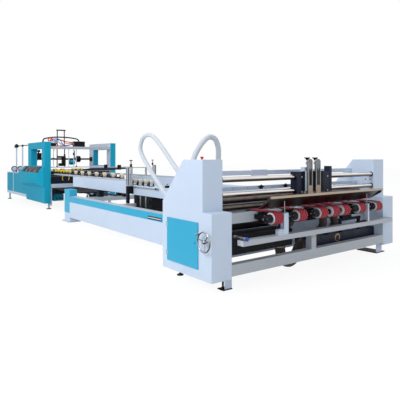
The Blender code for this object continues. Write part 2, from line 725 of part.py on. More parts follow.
def tail_support_rail():
    """The rail in front of the belts, with the two brackets and rods that carry the tray."""
    solids = [block(RAIL_X, RAIL_Y, RAIL_Z)]
    for number, (low, high) in enumerate(BRACKETS_X):
        solids.append(block((low, high), BRACKET_Y, (RAIL_Z[1] - 0.01, BRACKET_TOP)))
        if number == 0:
            solids.append(block((low - 0.09, low + 0.01), BRACKET_Y, (RAIL_Z[1] - 0.01, RAIL_Z[1] + 0.07)))
        middle = (low + high) / 2
        top = tray_height(TRAY_ROD_Y + TRAY_ROD_RADIUS) - GAP
        start = (middle, TRAY_ROD_Y, BRACKET_TOP - 0.01)
        solids.append(rod(start, (middle, TRAY_ROD_Y, top), TRAY_ROD_RADIUS, 12))
    piece("tail_support_rail", WHITE, solids)


def tray():
    """The bent stainless sheet above the belts: a sloping face, a front lip and two end folds."""
    front_y, front_z = TRAY_FRONT
    rear_y, rear_z = TRAY_REAR
    run = math.hypot(rear_y - front_y, rear_z - front_z)
    up_y = (front_z - rear_z) / run * TRAY_SHEET
    up_z = (rear_y - front_y) / run * TRAY_SHEET
    outline = [
        (front_y, front_z),
        (rear_y, rear_z),
        (rear_y + up_y, rear_z + up_z),
        (front_y + up_y, front_z + up_z + 0.002),
        (front_y - TRAY_SHEET, front_z + up_z + 0.002),
        (front_y - TRAY_SHEET, front_z - TRAY_LIP),
        (front_y, front_z - TRAY_LIP),
    ]
    fold = [(front_y - 0.002, front_z + 0.002), (rear_y, rear_z + 0.003), (front_y + 0.03, front_z - 0.062)]
    solids = [
        plate("x", TRAY_X, outline),
        plate("x", (TRAY_X[0], TRAY_X[0] + TRAY_SHEET), fold),
        plate("x", (TRAY_X[1] - TRAY_SHEET, TRAY_X[1]), fold),
    ]
    piece("tray", STEEL, solids)


def rail_cylinder():
    """The small air cylinder that lies on the rail's free end, with a wider cap in front of the rail."""
    x, z = CYLINDER_X, RAIL_Z[1] + GAP + CYLINDER_RADIUS
    front, rear = CYLINDER_Y
    body = rod((x, front, z), (x, rear, z), CYLINDER_RADIUS, 16)
    cap = rod((x, front - 0.025, z), (x, front + 0.002, z), CYLINDER_CAP_RADIUS, 16)
    piece("rail_cylinder", STEEL, [body, cap], round_piece=True)


def feed_belts():
    """Seven short feed belts: each a loop on two pulleys, with a hub and the arms of its frame.

    The table beam runs through the open loops, between the front and the rear arm.
    """
    inside = BELT_RADIUS - BELT_THICKNESS
    front_arm_y = (BELT_AXIS_Y, TABLE_BEAM_Y[0] - GAP)
    rear_arm_y = (TABLE_BEAM_Y[1] + GAP, BELT_REAR_Y)
    for number, (face, hub) in enumerate(zip(BELT_FACES, BELT_HUBS)):
        end = face + BELT_WIDTH
        loop = plate("x", (face, end), stadium(BELT_AXIS_Y, BELT_REAR_Y, BELT_AXIS_Z, BELT_RADIUS, 10))
        space = plate(
            "x", (face - 0.01, end + 0.01), between_pulleys(BELT_AXIS_Y, BELT_REAR_Y, BELT_AXIS_Z, inside)
        )
        arm_x = (face + 0.012, end - 0.012)
        hub_end = (face - hub, BELT_AXIS_Y, BELT_AXIS_Z)
        steps = [
            ("DIFFERENCE", space),
            ("UNION", block(arm_x, front_arm_y, BELT_ARM_Z)),
            ("UNION", block(arm_x, rear_arm_y, BELT_ARM_Z)),
            ("UNION", rod(hub_end, (face + 0.02, BELT_AXIS_Y, BELT_AXIS_Z), HUB_RADIUS, 16)),
            ("UNION", block((face - min(hub, 0.05), face + 0.02), front_arm_y, BELT_ARM_Z)),
        ]
        piece(f"feed_belt_{number + 1}", CRIMSON, [loop], steps=steps)


def carriages():
    """The two blocks that slide on the guide rods, each with a post and an arm behind its gate."""
    foot_z = (BLOCK_Z[0] + 0.005, BLOCK_Z[1] - 0.005)
    left = [
        block(LEFT_BLOCK_X, BLOCK_Y, BLOCK_Z),
        block(LEFT_POST_X, (LEFT_POST_Y[0], BLOCK_Y[1] - 0.008), foot_z),
        block(LEFT_POST_X, LEFT_POST_Y, (foot_z[1] - 0.01, LEFT_POST_TOP)),
        block((LEFT_POST_X[0] - 0.03, LEFT_ARM_END), ARM_Y, ARM_Z),
    ]
    right = [
        block(RIGHT_BLOCK_X, BLOCK_Y, BLOCK_Z),
        block(RIGHT_POST_X, (RIGHT_POST_Y[0], BLOCK_Y[1] - 0.008), foot_z),
        block(RIGHT_POST_X, RIGHT_POST_Y, (foot_z[1] - 0.01, RIGHT_POST_TOP)),
        block((RIGHT_ARM_END, RIGHT_BLOCK_X[0] + 0.03), ARM_Y, ARM_Z),
    ]
    for name, solids in (("carriage_left", left), ("carriage_right", right)):
        bores = [rod((0.5, ROD_Y, z), (3.2, ROD_Y, z), ROD_RADIUS + RUNNING, 32) for z in ROD_HEIGHTS]
        piece(name, NAVY, solids, bores)


def gate(name, reach):
    """A gauge plate with a rounded top, and behind it the setting screw with its flat knob."""
    low, high = reach
    middle = (low + high) / 2
    half = (high - low) / 2
    outline = [(low, GATE_BOTTOM), (high, GATE_BOTTOM)]
    for step in range(9):
        angle = math.pi * step / 8
        outline.append((middle + half * math.cos(angle), GATE_TOP - half * 0.7 * (1 - math.sin(angle))))
    neck = KNOB_TOP - 0.014
    solids = [
        plate("y", GATE_Y, outline),
        block((middle - 0.017, middle + 0.017), (GATE_Y[1] - 0.005, KNOB_Y + 0.012), (1.43, 1.468)),
        rod((middle, KNOB_Y, 1.372), (middle, KNOB_Y, neck - 0.02), 0.007, 10),
        rod((middle, KNOB_Y, neck - 0.028), (middle, KNOB_Y, neck + 0.001), 0.012, 14, 0.026),
        rod((middle, KNOB_Y, neck), (middle, KNOB_Y, KNOB_TOP), KNOB_RADIUS, 16),
    ]
    piece(name, STEEL, solids)


def suction_boxes():
    """The dark suction boxes under the belts, with the branch hoses that rise to the belts."""
    branch_y = 0.06
    left = [block(LEFT_BOX_X, BOX_Y, LEFT_BOX_Z)]
    x = BELT_FACES[1] + BELT_WIDTH / 2
    top = BELT_AXIS_Z - BELT_RADIUS - GAP
    path = [
        (x, branch_y, top),
        (x, branch_y, 0.69),
        (x, 0.17, 0.63),
        (x, 0.23, LEFT_BOX_Z[1] - 0.02),
        (x, 0.23, LEFT_BOX_Z[1] - 0.05),
    ]
    left.append(tube(path, BRANCH_RADIUS, 0.05))
    piece("left_suction_box", HOSE, left)
    right = [block(RIGHT_BOX_X, BOX_Y, RIGHT_BOX_Z)]
    for belt, lean in ((3, 0.02), (4, 0.05)):
        x = BELT_FACES[belt] + BELT_WIDTH / 2
        path = [
            (x, branch_y, top),
            (x, branch_y, 0.69),
            (x + lean, branch_y + 0.02, 0.58),
            (x + lean, 0.23, RIGHT_BOX_Z[1] - 0.02),
            (x + lean, 0.23, RIGHT_BOX_Z[1] - 0.05),
        ]
        right.append(tube(path, BRANCH_RADIUS, 0.06))
    piece("right_suction_box", DARK, right)


def suction_hose():
    """The brown hose that hangs in a bow from the left suction box to the right one."""
    y = 0.29
    points = [
        (1.41, y, LEFT_BOX_Z[0] - GAP),
        (1.41, y, 0.32),
        (1.44, y, 0.20),
        (1.52, y, 0.12),
        (1.62, y, 0.105),
        (1.71, y, 0.155),
        (1.77, y, 0.25),
        (1.85, y, 0.319),
        (RIGHT_BOX_X[0] - GAP, y, 0.319),
    ]
    piece("suction_hose", HOSE, [tube(points, SUCTION_RADIUS, 0.04, 3)], round_piece=True)


def air_hoses():
    """The two white air hoses that stand in arches above the feeder's rear."""
    x = AIR_HOSE_X
    sunk = GAP - COLLAR_DEPTH
    spacing = 5 * AIR_HOSE_RADIUS
    rear = [
        (x, REAR_ARCH_Y, SILL_Z[1] + sunk),
        (x, REAR_ARCH_Y, 0.69),
        (x, 1.96, 0.775),
        (x, 2.26, 0.98),
        (x, 2.86, 1.46),
        (x, 3.035, 1.68),
        (x, 2.94, 1.875),
        (x, 2.69, 1.915),
        (x, 2.42, 1.77),
        (x, 1.935, 1.379),
        (x, 1.42, 1.00),
        (x, 1.17, 0.86),
        (x, 1.04, REAR_ARCH_Z),
        (x, REAR_COVER_Y[1] + sunk, REAR_ARCH_Z),
    ]
    piece("rear_air_hose", AIR, [tube(rear, AIR_HOSE_RADIUS, spacing)], round_piece=True)
    y = AIR_HOSE_Y
    left, right = FRONT_ARCH_X
    front = [
        (left, y, REAR_COVER_Z[1] + sunk),
        (left, y, 1.20),
        (0.385, y, 1.50),
        (0.50, y, 1.69),
        (0.64, y, 1.80),
        (0.75, y, 1.77),
        (right, y, 1.65),
        (right, y, 1.50),
        (right, y, 1.20),
        (right, y, REAR_COVER_Z[1] + sunk),
    ]
    piece("front_air_hose", AIR, [tube(front, AIR_HOSE_RADIUS, spacing)], round_piece=True)


def side_frames():
    """The long sills of the folding section, each with its end post and foot plate."""
    for name, mirror in (("near_side_frame", False), ("far_side_frame", True)):
        sill_x, plate_x = SILL_X, FOOT_PLATE_X
        if mirror:
            sill_x = mirrored_x(SILL_X, LINE_CENTRE)
            plate_x = mirrored_x(FOOT_PLATE_X, LINE_CENTRE)
        solids = [
            block(sill_x, (SILL_START_Y, SILL_END_Y), SILL_Z),
            block(sill_x, (SILL_END_Y - 0.01, POST_END_Y), (FOOT_PLATE / 2, POST_Z)),
            block(plate_x, FOOT_PLATE_Y, (FLOOR, FOOT_PLATE)),
            block(sill_x, (SILL_START_Y, SILL_START_Y + 0.30), (FOOT_PLATE / 2, SILL_Z[0] + 0.01)),
            block(plate_x, (SILL_START_Y + 0.02, SILL_START_Y + 0.34), (FLOOR, FOOT_PLATE)),
        ]
        if mirror:
            piece(name, WHITE, solids)
        else:
            sleeve, bore = collar((AIR_HOSE_X, REAR_ARCH_Y, SILL_Z[1]), (0, 0, 1), AIR_HOSE_RADIUS)
            piece(name, WHITE, solids + [sleeve], [bore])


def cross_rails():
    """The rails across the folding section that carry the two folding beams."""
    far = mirrored_x(SILL_X, LINE_CENTRE)
    between = (SILL_X[1] + GAP, far[0] - GAP)
    for number, reach in enumerate(CROSS_RAILS_Y):
        piece(f"cross_rail_{number + 1}", WHITE, [block(between, reach, CROSS_RAIL_Z)])


def roller_on(middle, y, z, radius, base):
    """A roller across x and the web that carries it from the rail below."""
    half = BANK_ROLLER_WIDTH / 2
    wheel = rod((middle - half, y, z), (middle + half, y, z), radius, 14)
    web = block((middle - 0.015, middle + 0.015), (y - 0.02, y + 0.02), (base, z))
    return [wheel, web]


def folding_beams():
    """The two long folding beams, each with a gearbox below, a mast with its screw, and pedestals."""
    for name, far, mast_y in (
        ("near_folding_beam", False, NEAR_MAST_Y),
        ("far_folding_beam", True, FAR_MAST_Y),
    ):
        def across(*xs):
            return sorted(2 * LINE_CENTRE - x for x in xs) if far else sorted(xs)

        screw = (across(SCREW_X)[0], mast_y + MAST_DEPTH / 2)
        mast = (mast_y, mast_y + MAST_DEPTH)
        solids = [
            block(across(*BEAM_X), FIRST_BEAM_Y, (BEAM_BOTTOM, FIRST_BEAM_TOP)),
            block(across(*BEAM_X), SECOND_BEAM_Y, (BEAM_BOTTOM, SECOND_BEAM_TOP)),
            block(across(*GEARBOX_X), GEARBOX_Y, (GEARBOX_BOTTOM, BEAM_BOTTOM + 0.01)),
            block(across(MAST_X[0], BEAM_X[0] + 0.01), mast, MAST_PLATE_Z),
            block(across(*MAST_X), mast, (MAST_BOTTOM, MAST_TOP)),
            rod((*screw, MAST_PLATE_Z[1] - 0.02), (*screw, SCREW_TOP - 0.01), SCREW_RADIUS, 12),
            rod((*screw, SCREW_TOP - 0.018), (*screw, SCREW_TOP), SCREW_KNOB, 16),
        ]
        pedestal_z = (CROSS_RAIL_Z[1] + GAP, BEAM_BOTTOM + 0.01)
        for low, high in CROSS_RAILS_Y:
            solids.append(block(across(*PEDESTAL_X), (low + 0.01, high - 0.01), pedestal_z))
        if not far:
            ends = (SIDE_PIPE_START_Y, mast_y + 0.01)
            start = (SIDE_PIPE_X, ends[0], SIDE_PIPE_Z)
            solids.append(rod(start, (SIDE_PIPE_X, ends[1], SIDE_PIPE_Z), SIDE_PIPE_RADIUS, 12))
            clip_x = (SIDE_PIPE_X - 0.015, BEAM_X[0] + 0.01)
            clip_z = (SIDE_PIPE_Z - 0.018, SIDE_PIPE_Z + 0.018)
            solids.append(block(clip_x, (ends[0] + 0.05, ends[0] + 0.11), clip_z))
            middle = (BANK_X[0] + BANK_X[1]) / 2
            for y in FRONT_ROLLERS_Y:
                solids += roller_on(middle, y, FRONT_ROLLER_Z, FRONT_ROLLER_RADIUS, FIRST_BEAM_TOP - 0.01)
        piece(name, WHITE, solids)


def roller_bank():
    """The row of rollers on the near folding beam."""
    middle = (BANK_X[0] + BANK_X[1]) / 2
    base = SECOND_BEAM_TOP + GAP
    solids = [block(BANK_X, BANK_Y, (base, base + BANK_RAIL))]
    count = int((BANK_Y[1] - BANK_Y[0] - BANK_ROLLER_LEAD - 0.08) / BANK_ROLLER_STEP) + 1
    for number in range(count):
        y = BANK_Y[0] + BANK_ROLLER_LEAD + number * BANK_ROLLER_STEP
        solids += roller_on(middle, y, BANK_ROLLER_Z, BANK_ROLLER_RADIUS, base + 0.02)
    piece("near_roller_bank", WHITE, solids)


def folding_blade():
    """The dark folding blade, which sinks towards the delivery unit, on arms from the far folding beam."""
    rail_x = mirrored_x(BANK_X, LINE_CENTRE)
    middle = (rail_x[0] + rail_x[1]) / 2
    base = SECOND_BEAM_TOP + GAP
    lower = [(y, low) for y, low, _ in BLADE_LINE]
    upper = [(y, high) for y, _, high in BLADE_LINE]
    solids = [plate("x", BLADE_X, lower + upper[::-1]), block(rail_x, BANK_Y, (base, base + BANK_RAIL))]
    for y in BLADE_ARMS_Y:
        reach = (y - 0.025, y + 0.025)
        solids.append(block((BLADE_X[0] - 0.01, middle + 0.02), reach, BLADE_ARM_Z))
        solids.append(block((middle - 0.02, middle + 0.02), reach, (base + 0.02, BLADE_ARM_Z[1] - 0.005)))
        hanger_z = (BLADE_ARM_Z[0] - 0.04, BLADE_ARM_Z[1] + 0.065)
        solids.append(block((BLADE_X[0] - 0.012, BLADE_X[1] + 0.012), (y - 0.03, y + 0.03), hanger_z))
    piece("far_folding_bar", NAVY, solids)


def transfer_plate():
    """The dark plate before the delivery unit, with two arms from the last rail and a motor below."""
    solids = [block(PLATE_X, PLATE_Y, PLATE_Z)]
    solids += [block(reach, PLATE_ARMS_Y, PLATE_Z) for reach in PLATE_ARMS_X]
    solids += [
        rod((MOTOR_X[0], MOTOR_Y, MOTOR_Z), (MOTOR_X[1], MOTOR_Y, MOTOR_Z), MOTOR_RADIUS, 28),
        block(MOTOR_SADDLE_X, (MOTOR_Y - 0.05, MOTOR_Y + 0.05), (MOTOR_Z, PLATE_Z[0] + 0.01)),
    ]
    piece("transfer_plate", DARK, solids)


def drive_box():
    """The dark drive box between the folding beams, which sits astride the middle rail."""
    rail = CROSS_RAILS_Y[1]
    hung = (DRIVE_BOX_BOTTOM, CROSS_RAIL_Z[1] + 0.01)
    solids = [
        block(DRIVE_BOX_X, DRIVE_BOX_Y, (CROSS_RAIL_Z[1] + GAP, DRIVE_BOX_TOP)),
        block(DRIVE_BOX_X, (DRIVE_BOX_Y[0], rail[0] - GAP), hung),
        block(DRIVE_BOX_X, (rail[1] + GAP, DRIVE_BOX_Y[1]), hung),
    ]
    piece("drive_box", DARK, solids)


def portals():
    """The two tall portals of the delivery unit, each with a window, a long cabinet and feet."""
    outline = [
        (PORTAL_Y[0], CABINET_BOTTOM),
        (CABINET_STEP_Y, CABINET_BOTTOM),
        (CABINET_STEP_Y, REAR_CABINET_BOTTOM),
        (CABINET_END_Y, REAR_CABINET_BOTTOM),
        (CABINET_END_Y, CABINET_TOP),
        (PORTAL_Y[1], CABINET_TOP),
        (PORTAL_Y[1], PORTAL_TOP),
        (PORTAL_Y[0], PORTAL_TOP),
    ]
    for name, mirror in (("near_portal", False), ("far_portal", True)):
        x = mirrored_x(PORTAL_X, PORTAL_CENTRE) if mirror else PORTAL_X
        solids = [plate("x", x, outline)]
        for foot_x, y, base in (FRONT_FOOT, REAR_FOOT):
            if mirror:
                foot_x = 2 * PORTAL_CENTRE - foot_x
            solids.append(rod((foot_x, y, FLOOR), (foot_x, y, 0.02), 0.075, 20, 0.065))
            solids.append(rod((foot_x, y, 0.01), (foot_x, y, base + 0.02), 0.028, 16))
        cuts = [block((x[0] - 0.01, x[1] + 0.01), WINDOW_Y, WINDOW_Z)]
        if not mirror:
            arm_x = (PORTAL_X[1] - 0.01, VALVE_BOX_X[0] + 0.01)
            arm_y = (VALVE_BOX_Y[0] + 0.04, VALVE_BOX_Y[1] - 0.04)
            solids.append(block(arm_x, arm_y, (VALVE_BOX_Z[0] + 0.03, VALVE_BOX_Z[1] - 0.03)))
            solids.append(block(VALVE_BOX_X, VALVE_BOX_Y, VALVE_BOX_Z))
            sleeve, bore = collar((*CABLE_START, PORTAL_TOP), (0, 0, 1), CABLE_RADIUS)
            solids.append(sleeve)
            cuts.append(bore)
        piece(name, TEAL, solids, cuts)


def console():
    """The operator console on the near portal, with a sloping panel and a rising underside."""
    inner = PORTAL_X[0] - GAP
    outline = [
        (CONSOLE_X, CONSOLE_OUTER_Z[0]),
        (inner, CONSOLE_INNER_Z[0]),
        (inner, CONSOLE_INNER_Z[1]),
        (CONSOLE_X, CONSOLE_OUTER_Z[1]),
    ]
    corner = [
        (CONSOLE_X - 0.02, CONSOLE_Y[0] - 0.02),
        (inner - 0.03, CONSOLE_Y[0] - 0.02),
        (CONSOLE_X - 0.02, CONSOLE_BEVEL_Y),
    ]
    piece("console", TEAL, [plate("y", CONSOLE_Y, outline)], [plate("z", (0.5, 1.4), corner)])


def top_cross_beam():
    """The upper beam between the portals, with a valve block on it and posts and a guide rail below."""
    y = (BRIDGE_Y[0] + BRIDGE_Y[1]) / 2
    solids = [block((BETWEEN_NEAR, BETWEEN_FAR), BRIDGE_Y, TOP_BEAM_Z)]
    solids.append(block((BETWEEN_NEAR, BETWEEN_FAR), (y - 0.02, y + 0.02), GUIDE_RAIL_Z))
    low, high = GUIDE_RAIL_Z[0] + 0.01, TOP_BEAM_Z[0] + 0.01
    for x in GUIDE_POSTS_X:
        solids.append(rod((x, y, low), (x, y, high), GUIDE_POST_RADIUS, 10))
    valves_z = (TOP_BEAM_Z[1] - 0.01, VALVE_BLOCK_TOP)
    solids.append(block(VALVE_BLOCK_X, (BRIDGE_Y[0] + 0.03, BRIDGE_Y[1] - 0.03), valves_z))
    piece("top_cross_beam", WHITE, solids)


def press_gear():
    """The black shaft between the portals' rear legs, the bracket that rides on it and the lift motor."""
    centre = (PRESS_Y, PRESS_Z)
    shaft = rod((BETWEEN_NEAR, *centre), (BETWEEN_FAR, *centre), PRESS_RADIUS, 20)
    wheel = rod((PRESS_WHEEL_X[0], *centre), (PRESS_WHEEL_X[1], *centre), PRESS_WHEEL_RADIUS, 20)
    arm = block(PRESS_ARM_X, (PRESS_Y - 0.02, PRESS_Y + 0.02), (PRESS_Z, PRESS_ARM_TOP))
    bearing_y = (PRESS_Y - 0.08, PRESS_Y + 0.08)
    near_bearing = block((BETWEEN_NEAR, BETWEEN_NEAR + PRESS_BEARING), bearing_y, PRESS_BEARING_Z)
    far_bearing = block((BETWEEN_FAR - PRESS_BEARING, BETWEEN_FAR), bearing_y, PRESS_BEARING_Z)
    piece("press_shaft", DARK, [shaft, wheel, arm, near_bearing, far_bearing], round_piece=True)
    (left, right), (low, high) = PRESS_BLOCK_X, PRESS_BLOCK_Z
    outline = [
        (left, high),
        (left, PRESS_BAR_Z),
        (PRESS_COLUMN_X, PRESS_BAR_Z),
        (PRESS_COLUMN_X, PRESS_TOE_Z),
        (left + 0.03, PRESS_TOE_Z),
        (left + 0.03, low),
        (right, low),
        (right, high),
    ]
    body = plate("y", (PRESS_Y - 0.06, PRESS_Y + 0.06), outline)
    bore = rod((PRESS_COLUMN_X - 0.1, *centre), (right + 0.1, *centre), PRESS_RADIUS + RUNNING, 24)
    piece("press_carriage", DARK, [body], [bore])
    z = PRESS_Z - PRESS_RADIUS - GAP - LIFT_MOTOR_RADIUS
    barrel = rod((LIFT_MOTOR_X[0], PRESS_Y, z), (LIFT_MOTOR_X[1], PRESS_Y, z), LIFT_MOTOR_RADIUS, 24)
    piece("lift_motor", TEAL, [barrel], round_piece=True)


def bridge_pieces():
    """What stands on and under the delivery unit's cross beams."""
    width = (BETWEEN_NEAR, BETWEEN_FAR)
    leg_y = (BRIDGE_Y[0], BRIDGE_Y[0] + 0.06)
    near_leg = block((BETWEEN_NEAR, BETWEEN_NEAR + LEG_WIDTH), leg_y, LEG_Z)
    far_leg = block((BETWEEN_FAR - LEG_WIDTH, BETWEEN_FAR), leg_y, LEG_Z)
    piece("lower_cross_beam", WHITE, [block(width, BRIDGE_Y, LOWER_BEAM_Z), near_leg, far_leg])
    piece("belt_housing", DARK, [block(width, (BRIDGE_Y[0] + 0.01, 9.90), BELT_HOUSING_Z)])
    y = (BRIDGE_Y[0] + BRIDGE_Y[1]) / 2 - 0.02
    z = INFEED_ROLLER_Z
    half = INFEED_WHEEL_WIDTH / 2
    roller = [rod((BETWEEN_NEAR, y, z), (BETWEEN_FAR, y, z), INFEED_SHAFT_RADIUS, 12)]
    for x in INFEED_WHEELS_X:
        roller.append(rod((x - half, y, z), (x + half, y, z), INFEED_ROLLER_RADIUS, 12))
    piece("infeed_roller", YELLOW, roller, round_piece=True)
    base = TOP_BEAM_Z[1] + GAP
    sleeve, bore = collar((*CABLE_END, SWITCH_BOX_TOP), (0, 0, 1), CABLE_RADIUS)
    box = block(SWITCH_BOX_X, (BRIDGE_Y[0] + 0.01, BRIDGE_Y[1] + 0.06), (base, SWITCH_BOX_TOP))
    piece("switch_box", DARK, [box, sleeve], [bore])
    y = (BRIDGE_Y[0] + BRIDGE_Y[1]) / 2
    frame = [block(FRAME_X, (y - 0.02, y + 0.02), (FRAME_TOP - 0.035, FRAME_TOP))]
    for x in (FRAME_X[0] + FRAME_BAR, FRAME_X[1] - FRAME_BAR - 0.012):
        frame.append(block((x - 0.012, x + 0.012), (y - 0.012, y + 0.012), (base, FRAME_TOP - 0.01)))
    piece("sensor_frame", DARK, frame)
    sunk = GAP - COLLAR_DEPTH
    cable = [
        (*CABLE_START, PORTAL_TOP + sunk),
        (*CABLE_START, 2.07),
        (1.22, 9.685, 2.125),
        (1.48, 9.60, 2.175),
        (1.85, 9.51, 2.175),
        (2.14, 9.42, 2.13),
        (*CABLE_END, 2.075),
        (*CABLE_END, SWITCH_BOX_TOP + sunk),
    ]
    piece("cable_bundle", DARK, [tube(cable, CABLE_RADIUS, 0.06, 2)], round_piece=True)


def delivery_bed():
    """The bed between the cabinets, and the uprights on its near side with clamp, rod and rollers."""
    piece("delivery_bed", DARK, [block((BETWEEN_NEAR, BETWEEN_FAR), BED_Y, BED_Z)])
    solids = []
    for y in UPRIGHTS_Y:
        solids.append(rod((UPRIGHT_X, y, BED_Z[1] + GAP), (UPRIGHT_X, y, UPRIGHT_TOP), UPRIGHT_RADIUS, 12))
    hanging = rod(
        (UPRIGHT_X, HANGING_ROD_Y[0], HANGING_ROD_Z), (UPRIGHT_X, HANGING_ROD_Y[1], HANGING_ROD_Z), 0.016, 10
    )
    foot_bar = block(
        (UPRIGHT_X - 0.03, UPRIGHT_X + 0.03), (UPRIGHTS_Y[0] - 0.15, UPRIGHTS_Y[1] + 0.15), (1.10, 1.15)
    )
    last = UPRIGHTS_Y[1]
    clamp = block((UPRIGHT_X - 0.055, UPRIGHT_X + 0.05), (last - 0.06, last + 0.06), (1.92, 2.07))
    solids = [solids[0], hanging, solids[1], foot_bar, clamp]
    left, right = UPRIGHT_X - 0.05, UPRIGHT_X + 0.05
    for y in STACK_ROLLERS_Y:
        solids.append(rod((left, y, STACK_ROLLER_Z), (right, y, STACK_ROLLER_Z), STACK_ROLLER_RADIUS, 12))
    piece("rear_uprights", WHITE, solids)


operator_side_housing()
operator_door()
handwheel()
drive_side_housing()
guide_rods()
cross_bars()
lower_front_beam()
feed_rolls()
tail_support_rail()
tray()
rail_cylinder()
feed_belts()
carriages()
gate("gate_left", LEFT_GATE_X)
gate("gate_right", RIGHT_GATE_X)
suction_boxes()
suction_hose()
air_hoses()
side_frames()
cross_rails()
folding_beams()
roller_bank()
folding_blade()
transfer_plate()
drive_box()
portals()
console()
top_cross_beam()
press_gear()
bridge_pieces()
delivery_bed()
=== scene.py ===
import math
import bpy
import numpy as np
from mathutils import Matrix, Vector


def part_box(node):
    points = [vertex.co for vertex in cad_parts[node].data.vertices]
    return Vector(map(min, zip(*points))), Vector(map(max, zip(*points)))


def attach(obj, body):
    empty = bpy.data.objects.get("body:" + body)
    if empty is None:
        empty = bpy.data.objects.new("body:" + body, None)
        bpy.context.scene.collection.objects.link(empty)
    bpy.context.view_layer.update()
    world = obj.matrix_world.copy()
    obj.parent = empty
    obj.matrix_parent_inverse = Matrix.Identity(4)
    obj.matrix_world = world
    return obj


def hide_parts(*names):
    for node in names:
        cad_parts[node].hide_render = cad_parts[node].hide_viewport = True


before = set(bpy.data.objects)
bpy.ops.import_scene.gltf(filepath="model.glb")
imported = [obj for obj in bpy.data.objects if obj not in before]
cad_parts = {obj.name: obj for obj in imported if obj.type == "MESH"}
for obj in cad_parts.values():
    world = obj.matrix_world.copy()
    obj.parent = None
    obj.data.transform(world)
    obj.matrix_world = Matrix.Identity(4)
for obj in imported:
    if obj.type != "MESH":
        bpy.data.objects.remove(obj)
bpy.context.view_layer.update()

# Line coordinates: x across the line from the operator side, y along the feed, z up from the floor.
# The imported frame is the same, moved by this much.
lineShift = np.array((-1.83, -6.7875, 0.0))

# shapes as arrays


def gridFaces(rows, columns, closedRows=False, closedColumns=False):
    # every cell of a grid of points as one quad, wrapped round where a direction is closed
    i, j = np.meshgrid(
        np.arange(rows if closedRows else rows - 1),
        np.arange(columns if closedColumns else columns - 1),
        indexing="ij",
    )
    nextI = (i + 1) % rows
    nextJ = (j + 1) % columns
    quads = np.stack((i * columns + j, i * columns + nextJ, nextI * columns + nextJ, nextI * columns + j), -1)
    return quads.reshape(-1, 4).tolist()


def joined(*shapes):
    # several shapes as one, each one's faces counted on from the points before it
    points, faces, start = [], [], 0
    for shapePoints, shapeFaces in shapes:
        points.append(shapePoints)
        faces += [[corner + start for corner in face] for face in shapeFaces]
        start += len(shapePoints)
    return np.concatenate(points), faces


def mirroredX(shape, centre):
    # the same shape on the other side of a plane across x, its faces turned round
    points = shape[0].copy()
    points[:, 0] = 2 * centre - points[:, 0]
    return points, [face[::-1] for face in shape[1]]


def slab(x, y, z):
    # a block between pairs of coordinates
    points = np.array([(a, b, c) for c in z for b in y for a in x], float)
    faces = [[0, 2, 3, 1], [4, 5, 7, 6], [0, 1, 5, 4], [2, 6, 7, 3], [0, 4, 6, 2], [1, 3, 7, 5]]
    return points, faces


def turned(start, end, profile, sides=24):
    # a profile of (distance, radius) turned about the line from start to end, closed at both ends
    start, end = np.array(start, float), np.array(end, float)
    axis = (end - start) / np.linalg.norm(end - start)
    lead = np.array((0.0, 0.0, 1.0)) if abs(axis[2]) < 0.9 else np.array((1.0, 0.0, 0.0))
    across = np.cross(lead, axis)
    across /= np.linalg.norm(across)
    up = np.cross(axis, across)
    along, radius = np.array(profile, float).T
    angle = np.linspace(0, 2 * math.pi, sides, endpoint=False)
    rim = np.cos(angle)[:, None] * across + np.sin(angle)[:, None] * up
    points = start + along[:, None, None] * axis + radius[:, None, None] * rim
    faces = gridFaces(len(along), sides, closedColumns=True)
    last = (len(along) - 1) * sides
    faces += [list(range(sides))[::-1], [last + k for k in range(sides)]]
    return points.reshape(-1, 3), faces


def bar(start, end, radius, sides=24, edge=0.0015):
    # a round bar with small chamfers
    length = float(np.linalg.norm(np.array(end, float) - np.array(start, float)))
    edge = min(edge, length / 4, radius / 3)
    profile = [(0, radius - edge), (edge, radius), (length - edge, radius), (length, radius - edge)]
    return turned(start, end, profile, sides)


axisOrder = {"x": (1, 2, 0), "y": (2, 0, 1), "z": (0, 1, 2)}


def prism(outline, axis, reach):
    # a flat outline given thickness along one axis; the outline holds the other two coordinates in order
    outline = np.array(outline, float)
    area = np.sum(outline[:, 0] * np.roll(outline[:, 1], -1) - np.roll(outline[:, 0], -1) * outline[:, 1])
    if area < 0:
        outline = outline[::-1]
    order = axisOrder[axis]
    if axis == "y":
        outline = outline[:, ::-1][::-1]
    count = len(outline)
    points = np.zeros((2 * count, 3))
    for side in range(2):
        points[side * count:(side + 1) * count, order[0]] = outline[:, 0]
        points[side * count:(side + 1) * count, order[1]] = outline[:, 1]
        points[side * count:(side + 1) * count, order[2]] = reach[side]
    ring = np.arange(count)
    after = np.roll(ring, -1)
    faces = np.stack((ring, after, after + count, ring + count), -1).tolist()
    faces += [ring[::-1].tolist(), (ring + count).tolist()]
    return points, faces


